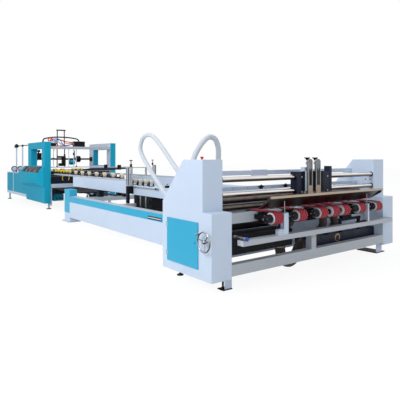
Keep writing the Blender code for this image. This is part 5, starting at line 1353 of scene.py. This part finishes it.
blade = {
    "x": (2.17, 2.23),
    "line": (
        (6.13, 1.222, 1.250), (6.21, 1.251, 1.286), (7.28, 1.191, 1.262), (8.30, 1.160, 1.238),
        (8.96, 1.165, 1.195),
    ),
    "armsY": (6.60, 7.42),
}


def foldingBlade():
    # an outline of low and high edges along the feed, carried over the blade's width, on two arms
    print("folding blade")
    b = blade
    base = bankBase
    outline = [(y, low) for y, low, _ in b["line"]] + [(y, high) for y, _, high in b["line"]][::-1]
    addPiece("farBlade", prism(outline, "x", b["x"]), navyPaint, "far_beam", "far_folding_bar", "navy_paint", 0.003)
    addPiece(
        "farBladeRail", slab((2.97, 3.05), (4.60, 9.19), (base, base + 0.045)), greyPaint, "far_beam", bevel=0.003,
    )
    arms, clamps, heads = [], [], []
    for y in b["armsY"]:
        arms.append(slab((2.16, 3.03), (y - 0.025, y + 0.025), (1.262, 1.285)))
        arms.append(slab((2.99, 3.03), (y - 0.025, y + 0.025), (base + 0.044, 1.28)))
        clamps.append(slab((2.158, 2.242), (y - 0.030, y + 0.030), (1.222, 1.350)))
        heads += [(2.2, y - 0.03, 1.335), (2.2, y - 0.03, 1.24)]
    addPiece("farBladeArms", arms, greyPaint, "far_beam", bevel=0.002)
    addPiece("farBladeClamps", clamps, blackPlastic, "far_beam", bevel=0.003)
    addPiece("farBladeBolts", bolts(heads, (0, -1, 0), 0.008, 0.0005), zincSteel, "far_beam")


def transferPlate():
    # a sheet with two tongues, a motor turned from a profile with nine ribs, and boxes between the beams
    print("transfer plate, motor and drive box")
    z = (0.6003, 0.6297)
    sheet = joined(
        slab((1.35, 2.75), (7.20, 9.40), z), *[slab(x, (5.92, 7.21), z) for x in ((1.75, 1.83), (2.57, 2.65))],
    )
    addPiece("transferSheet", sheet, darkPaint, replaces="transfer_plate", slotName="dark_paint", bevel=0.003)
    skirt = [slab((1.352, 1.92), (9.372, 9.398), (0.44, 0.602)), slab((1.352, 1.378), (9.10, 9.374), (0.47, 0.602))]
    addPiece("transferSkirt", skirt, blackPlastic, bevel=0.003)
    y, height = 7.27, 0.485
    ribs = []
    for k in range(9):
        ribs += [
            (0.052 + 0.014 * k, 0.079), (0.055 + 0.014 * k, 0.084), (0.060 + 0.014 * k, 0.084),
            (0.063 + 0.014 * k, 0.079),
        ]
    profile = [(0, 0.045), (0.003, 0.070), (0.010, 0.084), (0.030, 0.090), (0.048, 0.090), (0.050, 0.079)] + ribs
    profile += [(0.190, 0.079), (0.192, 0.088), (0.215, 0.088), (0.227, 0.076), (0.23, 0.03)]
    addPiece("transferMotor", turned((1.60, y, height), (1.83, y, height), profile, 48), darkPaint, smooth=30)
    rim = sleeve(
        (1.6005, y, height), (1.616, y, height), [(0, 0.020), (0, 0.078), (0.015, 0.0895), (0.015, 0.020)], 48,
    )
    addPiece("transferMotorRim", rim, whitePlastic, smooth=30)
    addPiece("transferMotorSaddle", slab((1.68, 1.75), (7.22, 7.32), (0.50, 0.606)), greyPaint, bevel=0.003)
    hung = [slab((1.722, 2.298), y, (0.42, 0.605)) for y in ((3.452, 4.0595), (4.2005, 4.798))]
    box = slab((1.72, 2.30), (3.45, 4.80), (0.6003, 0.735))
    addPiece("driveBox", box, darkPaint, replaces="drive_box", slotName="dark_paint", bevel=0.006)
    addPiece("driveBoxLower", hung, darkPaint, bevel=0.004)


# delivery unit

unit = {
    "centre": 2.245,
    "x": (1.095, 1.28),
    "inner": (1.2803, 3.2097),
    "y": (9.25, 9.53, 10.62, 10.97, 11.17, 13.75),
    "z": (0.175, 0.235, 1.02, 1.29, 1.813, 2.02),
    "feet": ((1.248, 9.34, 0.175), (1.155, 13.60, 0.235)),
    "pressY": 10.80,
    "pressZ": 1.502,
}


def portals():
    # each side is a plate of cells with the window left out; white skins and strips lie on it
    print("portals")
    u = unit
    keep = np.zeros((5, 5), bool)
    keep[:, 1] = True
    keep[:4, 0] = True
    keep[:3, 2:] = True
    keep[1, 3] = False
    x = u["x"]
    for name, node, centre in (("near", "near_portal", None), ("far", "far_portal", u["centre"])):
        put = pairPlacer(name, centre)
        frameShape = cellPlate(u["y"], u["z"], keep, "x", (x[0], x[1] - 0.0014))
        put("PortalFrame", frameShape, deepTeal, replaces=node, slotName="teal_paint", bevel=0.006, segments=3)
        skin = cellPlate(
            [9.254, 9.532, 10.618, 10.966], [1.024, 1.288, 1.815, 2.016],
            np.array([[1, 1, 1], [1, 0, 1], [1, 1, 1]]), "x", (x[1] - 0.0018, x[1]),
        )
        put("PortalSkin", skin, whitePaint, bevel=0.0006)
        strips = [
            slab((x[0] - 0.0015, x[0] + 0.002), (12.82, 12.88), (0.330, 1.018)),
            slab((x[0] - 0.0015, x[0] + 0.002), (11.19, 13.745), (0.238, 0.330)),
            slab((x[0] - 0.0015, x[0] + 0.06), (12.15, 13.745), (1.004, 1.0202)),
        ]
        put("PortalStrips", strips, whitePaint, bevel=0.001)
        pads, stems = [], []
        for footX, y, base in u["feet"]:
            ring = [(0, 0.072), (0.003, 0.075), (0.010, 0.072), (0.018, 0.066), (0.02, 0.040)]
            pads.append(turned((footX, y, 0.0), (footX, y, 0.02), ring, 28))
            stems.append(bar((footX, y, 0.012), (footX, y, base + 0.005), 0.028, 24))
        put("PortalPads", pads, darkPaint, smooth=30)
        put("PortalStems", stems, greyPaint, smooth=30)
    box = [slab((1.27, 1.45), (9.50, 9.72), (0.246, 0.396)), slab((1.44, 1.745), (9.4605, 9.76), (0.216, 0.426))]
    addPiece("valveBox", box, deepTeal, bevel=0.004)
    # a navy sheet behind the valve box: a dark piece put in as painted shade for the shaded space under the transfer
    # plate
    addPiece("valveShadeSheet", slab((1.279, 1.742), (9.758, 9.785), (0.30, 0.620)), navyPaint, bevel=0.002)
    plugs, caps = [], []
    for x in (1.535, 1.625, 1.705):
        plugs.append(bar((x, 9.440, 0.300), (x, 9.462, 0.300), 0.024, 20))
        caps.append(bar((x, 9.431, 0.300), (x, 9.4405, 0.300), 0.012, 16))
    plugs.append(slab((1.50, 1.74), (9.452, 9.462), (0.262, 0.274)))
    addPiece("valvePlugs", plugs, blackPlastic, smooth=30)
    addPiece("valvePlugCaps", caps, redPlastic, smooth=30)


consoleSet = {"x": (0.935, 1.0947), "bottom": (0.757, 0.65), "top": (1.088, 1.28), "y": (9.27, 11.40)}


def consoleHeight(kind, x):
    # the height of the console's slope or underside at x
    low, high = consoleSet["x"]
    start, end = consoleSet[kind]
    return start + (np.asarray(x, float) - low) / (high - low) * (end - start)


def onSlope(x, y, low, high):
    # a block that lies on the console's slope between two heights above it
    shape, faces = slab(x, y, (0, 1))
    lift = np.where(shape[:, 2] > 0.5, high, low)
    shape[:, 2] = consoleHeight("top", shape[:, 0]) + lift
    return shape, faces


def console():
    # the plan outline carried from the sloping underside to the sloping top
    print("console")
    (low, high), (front, rear) = consoleSet["x"], consoleSet["y"]
    plan = np.array([(1.0556, front), (high, front), (high, rear), (low, rear), (low, 9.536)])
    count = len(plan)
    points = np.concatenate(
        [np.column_stack((plan, consoleHeight(kind, plan[:, 0]))) for kind in ("bottom", "top")]
    )
    faces = [[k, (k + 1) % count, (k + 1) % count + count, k + count] for k in range(count)]
    faces += [list(range(count))[::-1], list(range(count, 2 * count))]
    addPiece("consoleBody", (points, faces), deepTeal, replaces="console", slotName="teal_paint", bevel=0.004)
    addPiece("consolePanel", onSlope((0.943, 1.084), (9.45, 11.15), -0.002, 0.003), blackPlastic, bevel=0.001)
    screens = [onSlope((1.006, 1.078), (y, y + 0.20), 0.001, 0.0045) for y in (9.65, 9.89, 10.13, 10.37, 10.61)]
    addPiece("consoleScreens", screens, screenGlass, bevel=0.001)
    frames = [
        onSlope((1.002, 1.082), (y, y + 0.012), 0.001, 0.005)
        for y in (9.865, 10.105, 10.345, 10.585, 10.825)
    ]
    addPiece("consoleScreenFrames", frames, blackPlastic)
    for name, finish, places in (
        ("consoleRedButtons", redPlastic, (9.70, 10.18, 10.66)),
        ("consoleGreyButtons", whitePlastic, (9.78, 9.94, 10.34, 10.74)),
        ("consoleDarkButtons", darkPaint, (9.86, 10.02, 10.10, 10.26, 10.42, 10.50, 10.58, 10.82, 10.90)),
    ):
        keys = [onSlope((x, x + 0.016), (y, y + 0.034), 0.001, 0.006) for y in places for x in (0.953, 0.978)]
        addPiece(name, keys, finish)


wires = (
    (
        redWire, 0.009,
        [
            (1.36, 2.060), (1.37, 2.110), (1.42, 2.119), (1.50, 2.105), (1.62, 2.085), (1.72, 2.050), (1.86, 2.025),
            (1.99, 2.015),
        ],
    ),
    (
        orangeWire, 0.008,
        [
            (1.45, 2.040), (1.50, 2.075), (1.58, 2.085), (1.68, 2.055), (1.75, 2.000), (1.84, 1.975), (1.96, 2.005),
            (2.025, 2.000),
        ],
    ),
    (
        blueWire, 0.008,
        [
            (1.40, 2.118), (1.52, 2.112), (1.60, 2.060), (1.64, 1.985), (1.70, 1.930), (1.82, 1.925), (1.95, 1.955),
            (2.025, 1.965),
        ],
    ),
    (
        whitePlastic, 0.009,
        [
            (1.46, 2.000), (1.52, 2.015), (1.60, 1.990), (1.68, 1.925), (1.76, 1.910), (1.88, 1.930), (1.97, 1.985),
            (2.025, 1.985),
        ],
    ),
    (
        whitePlastic, 0.008,
        [
            (1.33, 2.070), (1.34, 2.112), (1.40, 2.120), (1.47, 2.090), (1.54, 2.030), (1.60, 1.950), (1.66, 1.905),
            (1.74, 1.901),
        ],
    ),
    (
        redWire, 0.007,
        [
            (1.46, 1.990), (1.50, 1.950), (1.52, 1.920), (1.55, 1.905), (1.66, 1.902), (1.78, 1.915), (1.90, 1.945),
            (2.025, 1.940),
        ],
    ),
)


def bridge():
    # bars and slabs from one portal to the other, with upright rods between the rail and the beam
    print("bridge between the portals")
    width = unit["inner"]
    addPiece(
        "topBeam", slab(width, (9.28, 9.42), (1.81, 1.89)), greyPaint, replaces="top_cross_beam",
        slotName="white_paint", bevel=0.005,
    )
    addPiece("guideRail", slab(width, (9.33, 9.37), (1.235, 1.268)), whitePaint, bevel=0.003)
    for name, finish, radius, places in (
        ("guidePosts", whitePaint, 0.010, (1.39, 1.86, 2.02, 2.10)),
        ("guideRodsDark", blackPlastic, 0.014, (1.50, 1.73)),
    ):
        posts = [bar((x, 9.35, 1.24), (x, 9.35, 1.815), radius, 16) for x in places]
        addPiece(name, posts, finish, smooth=30)
    clamps = [
        slab((x - 0.02, x + 0.02), (9.325, 9.375), z)
        for x, z in (
            (1.39, (1.50, 1.54)), (1.73, (1.60, 1.65)), (2.02, (1.62, 1.70)), (1.50, (1.262, 1.29)),
            (2.10, (1.262, 1.29)),
        )
    ]
    addPiece("guidePostClamps", clamps, blackPlastic, bevel=0.003)
    legs = [
        slab(x, (9.28, 9.34), (0.10, 0.66))
        for x in ((width[0], width[0] + 0.045), (width[1] - 0.045, width[1]))
    ]
    lower = joined(slab(width, (9.28, 9.42), (0.6303, 0.75)), *legs)
    addPiece("lowerBridgeBeam", lower, whitePaint, replaces="lower_cross_beam", slotName="white_paint", bevel=0.004)
    beam("switchBox", "switch_box", blackPlastic, slotName="dark_paint")
    frameParts = [slab((1.48, 1.756), (9.33, 9.37), (2.365, 2.40))]
    for middle in (1.504, 1.72):
        frameParts.append(slab((middle - 0.012, middle + 0.012), (9.338, 9.362), (1.8903, 2.39)))
    addPiece("sensorFrame", frameParts, blackPlastic, replaces="sensor_frame", slotName="dark_paint", bevel=0.002)


def valvesAndWires():
    # the valve block on the top beam, its plugs and the loose wires that run from it to the switch box
    print("valves and wires")
    middleY = 9.35
    addPiece("valveBlock", slab((1.305, 1.465), (9.315, 9.385), (1.889, 1.985)), blackPlastic, bevel=0.003)
    addPiece(
        "valveCaps", [slab((x, x + 0.042), (9.32, 9.38), (1.984, 2.055)) for x in (1.312, 1.364, 1.416)],
        whitePlastic, bevel=0.003,
    )
    plugs = [bar((x, middleY, z), (x, middleY, z + 0.055), 0.017, 16) for x, z in ((1.322, 2.050), (1.372, 2.066))]
    addPiece("valveRedPlugs", plugs, redPlastic, smooth=30)
    plugs = [bar((x, middleY, z), (x, middleY, z + 0.045), 0.014, 16) for x, z in ((1.410, 2.050), (1.445, 2.040))]
    addPiece("valveBluePlugs", plugs, blueWire, smooth=30)
    addPiece("valveTealPlug", slab((1.425, 1.47), (9.312, 9.345), (2.00, 2.06)), cyanTape, bevel=0.003)
    for number, (finish, radius, line) in enumerate(wires):
        y = 9.345 + 0.018 * math.sin(2.3 * number)
        knots = [(x, y + 0.012 * math.sin(9 * x + number), z) for x, z in line]
        addPiece(
            f"loomWire{number + 1}", pipe(smoothPath(knots, 60), 1.5 * radius, 10, (0.0, 1.0, 0.0)), finish,
            smooth=60,
        )
    coil = [
        (1.36, 2.06), (1.34, 2.125), (1.28, 2.135), (1.235, 2.11), (1.225, 2.07), (1.25, 2.045), (1.29, 2.06),
        (1.31, 2.10), (1.35, 2.10),
    ]
    addPiece(
        "redWireCoil",
        pipe(
            smoothPath([(x, middleY + 0.02 * math.sin(14 * x), z) for x, z in coil], 70), 0.016, 12,
            (0.0, 1.0, 0.0),
        ),
        redWire, smooth=60,
    )
    hanging = smoothPath(
        [(1.47, 9.288, 1.93), (1.44, 9.288, 1.90), (1.415, 9.288, 1.86), (1.405, 9.288, 1.80), (1.41, 9.288, 1.74)],
        30,
    )
    addPiece("hangingWire", pipe(hanging, 0.006, 10, (0.0, 1.0, 0.0)), orangeWire, smooth=60)


def beltHousing():
    # the dark housing's front: chromed rails, a slotted row, round openings with yellow wheel edges
    print("belt housing and infeed roller")
    (low, high), (front, rear), (bottom, top) = nodeBox("belt_housing")
    body = slab((low, high), (front + 0.02, rear), (bottom, top))
    addPiece("beltHousing", body, navyPaint, replaces="belt_housing", slotName="dark_paint", bevel=0.005)
    rails = [slab((low, high), (front + 0.002, front + 0.024), z) for z in ((1.118, 1.138), (1.030, 1.050))]
    addPiece("beltHousingRails", rails, zincSteel, bevel=0.002)
    brown = slab((low, high), (front + 0.010, front + 0.022), (0.958, 1.004))
    addPiece("beltHousingStrip", brown, rollSteel, bevel=0.002)
    blocks = [
        slab((x, x + 0.045), (front + 0.001, front + 0.022), (1.060, 1.105))
        for x in np.arange(1.32, 3.15, 0.105)
    ]
    addPiece("beltHousingBlocks", blocks, blackPlastic, bevel=0.002)
    studs = [
        bar((x + 0.075, front + 0.003, 1.082), (x + 0.075, front + 0.022, 1.082), 0.014, 16)
        for x in np.arange(1.32, 3.10, 0.105)
    ]
    addPiece("beltHousingStuds", studs, stainless, smooth=30)
    arcs = []
    for x, turn in ((1.655, math.pi), (1.845, 0.0), (2.30, math.pi), (2.49, 0.0), (2.90, math.pi)):
        # half a ring: a small circle carried round half a wheel's edge
        angle = np.linspace(-1.35, 1.35, 22) + turn
        path = np.stack(
            (
                x - 0.020 * np.cos(turn) + 0.030 * np.cos(angle), np.full(22, front + 0.016),
                0.915 + 0.068 * np.sin(angle),
            ),
            -1,
        )
        arcs.append(pipe(path, 0.014, 10, (0.0, 1.0, 0.0)))
    addPiece("beltHousingWheelEdges", arcs, yellowRubber, smooth=50)
    y, z = nodeBox("infeed_roller")[1:].mean(axis=1)
    shaft = bar((low, y, z), (high, y, z), 0.014, 20)
    addPiece("infeedShaft", shaft, zincSteel, replaces="infeed_roller", slotName="yellow_roller", smooth=30)
    ring = [(0, 0.016), (0.001, 0.030), (0.006, 0.0345), (0.064, 0.0345), (0.069, 0.030), (0.070, 0.016)]
    places = (1.433, 1.651, 2.00, 2.13, 2.26, 2.62, 2.95)
    addPiece(
        "infeedWheels", [turned((x - 0.035, y, z), (x + 0.035, y, z), ring, 24) for x in places], yellowRubber,
        smooth=30,
    )
    hubs = [
        turned((x + side * 0.035, y, z), (x + side * 0.058, y, z), [(0, 0.028), (0.018, 0.028), (0.023, 0.022)], 20)
        for x in places
        for side in (-1, 1)
    ]
    addPiece("infeedHubs", hubs, blackPlastic, smooth=30)


def pressGear():
    # black shaft with its bearings, wheel and lifting arm, the hooked carriage on it and the teal motor below
    print("press gear")
    width, y, z = unit["inner"], unit["pressY"], unit["pressZ"]
    shaft = bar((width[0], y, z), (width[1], y, z), 0.028, 32)
    addPiece("pressShaft", shaft, darkPaint, replaces="press_shaft", slotName="dark_paint", smooth=30)
    bearings = [
        slab(x, (y - 0.08, y + 0.08), (1.43, 1.574))
        for x in ((width[0], width[0] + 0.04), (width[1] - 0.04, width[1]))
    ]
    bearings.append(slab((1.322, 1.455), (y - 0.08, y + 0.08), (1.47, 1.70)))
    bearings.append(slab((1.33, 1.42), (y - 0.05, y + 0.05), (1.73, 1.798)))
    bearings.append(slab((1.36, 1.39), (y - 0.02, y + 0.02), (1.69, 1.74)))
    addPiece("pressBearings", bearings, blackPlastic, bevel=0.004)
    wheel = [
        (0, 0.045), (0.003, 0.085), (0.014, 0.085), (0.020, 0.100), (0.024, 0.110), (0.060, 0.110), (0.064, 0.092),
    ]
    wheel += [(0.090, 0.092), (0.094, 0.110), (0.128, 0.110), (0.134, 0.088), (0.148, 0.085), (0.15, 0.045)]
    addPiece("pressWheel", turned((2.65, y, z), (2.80, y, z), wheel, 40), blackPlastic, smooth=30)
    outline = [
        (y - 0.02, z), (y + 0.02, z), (y + 0.018, 1.66), (y + 0.010, 1.70), (y + 0.012, 1.80), (y - 0.012, 1.80),
        (y - 0.010, 1.70), (y - 0.018, 1.66),
    ]
    addPiece("pressArm", prism(outline, "x", (2.568, 2.606)), blackPlastic, bevel=0.002)
    hook = [
        (2.02, 1.604), (2.02, 1.54), (2.16, 1.54), (2.16, 1.36), (2.05, 1.36), (2.05, 1.263), (2.27, 1.263),
        (2.27, 1.604),
    ]
    carriage = prism(hook, "y", (y - 0.06, y + 0.06))
    addPiece("pressCarriage", carriage, blackPlastic, replaces="press_carriage", slotName="dark_paint", bevel=0.005)
    profile = [
        (0, 0.050), (0.004, 0.075), (0.014, 0.084), (0.150, 0.084), (0.154, 0.078), (0.166, 0.078), (0.176, 0.060),
        (0.18, 0.040),
    ]
    motor = turned((2.42, y, 1.3887), (2.60, y, 1.3887), profile, 40)
    addPiece("liftMotor", motor, deepTeal, replaces="lift_motor", slotName="teal_paint", smooth=30)


def deliveryBed():
    # two posts on the bed's near edge, the rod and the clamp at their tops, and two round discs at their feet
    print("delivery bed and uprights")
    beam("deliveryBed", "delivery_bed", darkPaint, slotName="dark_paint", bevel=0.005)
    x, frontY, rearY = 1.34, 12.57, 13.39
    posts = [bar((x, y, 1.0203), (x, y, 2.03), 0.024, 24) for y in (frontY, rearY)]
    addPiece("rearUprights", posts, whitePaint, replaces="rear_uprights", slotName="white_paint", smooth=30)
    addPiece("hangingRod", bar((x, 10.97, 1.985), (x, 13.51, 1.985), 0.016, 20), blackPlastic, smooth=30)
    clampParts = [
        slab((1.292, 1.388), (13.335, 13.445), (1.935, 2.045)),
        bar((x, 13.22, 1.985), (x, 13.30, 1.985), 0.046, 24),
        bar((x, 13.45, 1.985), (x, 13.535, 1.985), 0.046, 24),
        bar((x, rearY, 2.03), (x, rearY, 2.068), 0.034, 20),
        slab((1.296, 1.316), (13.30, 13.535), (1.925, 1.950)),
        slab((1.313, 1.367), (12.54, 12.60), (1.955, 2.015)),
    ]
    addPiece("uprightClamps", clampParts, blackPlastic, bevel=0.004)
    footBar = [
        slab((1.312, 1.368), (12.42, 13.70), (1.10, 1.15)), slab((1.21, 1.45), (13.238, 13.262), (1.112, 1.138)),
    ]
    addPiece("uprightFootBar", footBar, greyPaint, bevel=0.003)
    rim = [(0, 0.080), (0, 0.096), (0.004, 0.104), (0.046, 0.104), (0.050, 0.096), (0.050, 0.080)]
    disc = [(0, 0.020), (0.003, 0.082), (0.041, 0.082), (0.044, 0.020)]
    middles = (1.224, 1.437)
    wheels = [sleeve((x, 13.225, 1.14), (x, 13.275, 1.14), rim, 32) for x in middles]
    discs = [turned((x, 13.228, 1.14), (x, 13.272, 1.14), disc, 28) for x in middles]
    addPiece("uprightWheelRims", wheels, blackPlastic, smooth=30)
    addPiece("uprightWheelDiscs", discs, whitePaint, smooth=30)


camera()
whiteAirHoses()
cableArc()
operatorHousing()
driveHousing()
operatorDoor()
operatorHandwheel()
guideRods()
housingBars()
feedRolls()
lowerFrontBeam()
tailSupportRail()
sheetTray()
railCylinder()
feedBelts()
carriages()
gates()
suctionBoxes()
sideFrames()
crossRails()
foldingBeams()
rollerBank()
foldingBlade()
transferPlate()
portals()
console()
bridge()
valvesAndWires()
beltHousing()
pressGear()
deliveryBed()

# floor and light


def seenRays(tree):
    # 1 for the rays of the camera, of reflections and of what is seen through glass
    path = addNode(tree, "LightPath").outputs
    reflected = combine(tree, "MAXIMUM", path["Is Camera Ray"], path["Is Glossy Ray"])
    return combine(tree, "MAXIMUM", reflected, path["Is Transmission Ray"])


def floorMaterial():
    # pale matt floor that the camera and reflections see as nearly white
    made, tree, shader = newTree("studioFloor")
    shader.inputs["Base Color"].default_value = (0.82, 0.82, 0.82, 1)
    shader.inputs["Roughness"].default_value = 0.9
    glow = addNode(tree, "Emission", {"Strength": 1.075}).outputs[0]
    share = combine(tree, "MULTIPLY", seenRays(tree), 0.85)
    surface = addNode(tree, "MixShader", {0: share, 1: shader.outputs[0], 2: glow}).outputs[0]
    tree.links.new(surface, tree.nodes["Material Output"].inputs["Surface"])
    return made


def studio():
    # a floor that carries the shadow, a soft pale world and three round lamps
    print("floor and light")
    scene = bpy.context.scene
    mesh = bpy.data.meshes.new("studioFloor")
    half = 60.0
    mesh.from_pydata([(-half, -half, 0), (half, -half, 0), (half, half, 0), (-half, half, 0)], [], [(0, 1, 2, 3)])
    mesh.materials.append(floorMaterial())
    floor = bpy.data.objects.new("studioFloor", mesh)
    scene.collection.objects.link(floor)

    world = bpy.data.worlds.new("studio")
    scene.world = world
    world.use_nodes = True
    tree = world.node_tree
    tree.nodes.clear()
    soft = addNode(tree, "Background", {"Color": (0.90, 0.95, 1.0, 1), "Strength": 0.53}).outputs[0]
    white = addNode(tree, "Background", {"Color": (1.0, 1.0, 1.0, 1), "Strength": 1.0}).outputs[0]
    surface = addNode(tree, "MixShader", {0: seenRays(tree), 1: soft, 2: white}).outputs[0]
    addNode(tree, "OutputWorld", {"Surface": surface})

    def lamp(name, place, aim, size, power, colour=(1, 1, 1)):
        data = bpy.data.lights.new(name, "AREA")
        data.shape = "DISK"
        data.size = size
        data.energy = power
        data.color = colour
        made = bpy.data.objects.new(name, data)
        made.location = np.array(place) + lineShift
        way = np.array(aim, float) - np.array(place, float)
        made.rotation_euler = Vector(way).to_track_quat("-Z", "Y").to_euler()
        scene.collection.objects.link(made)

    lamp("keyLamp", (-9.0, 1.5, 7.5), (0.5, 4.5, 0.6), 6.0, 640, (0.95, 0.98, 1.0))
    lamp("frontLamp", (1.5, -8.0, 5.0), (2.0, 0.5, 0.8), 5.0, 90, (1.0, 0.99, 0.97))
    lamp("topLamp", (2.0, 6.0, 10.0), (2.0, 6.0, 0.5), 9.0, 320)

    scene.view_settings.view_transform = "Standard"


studio()
bpy.context.view_layer.update()
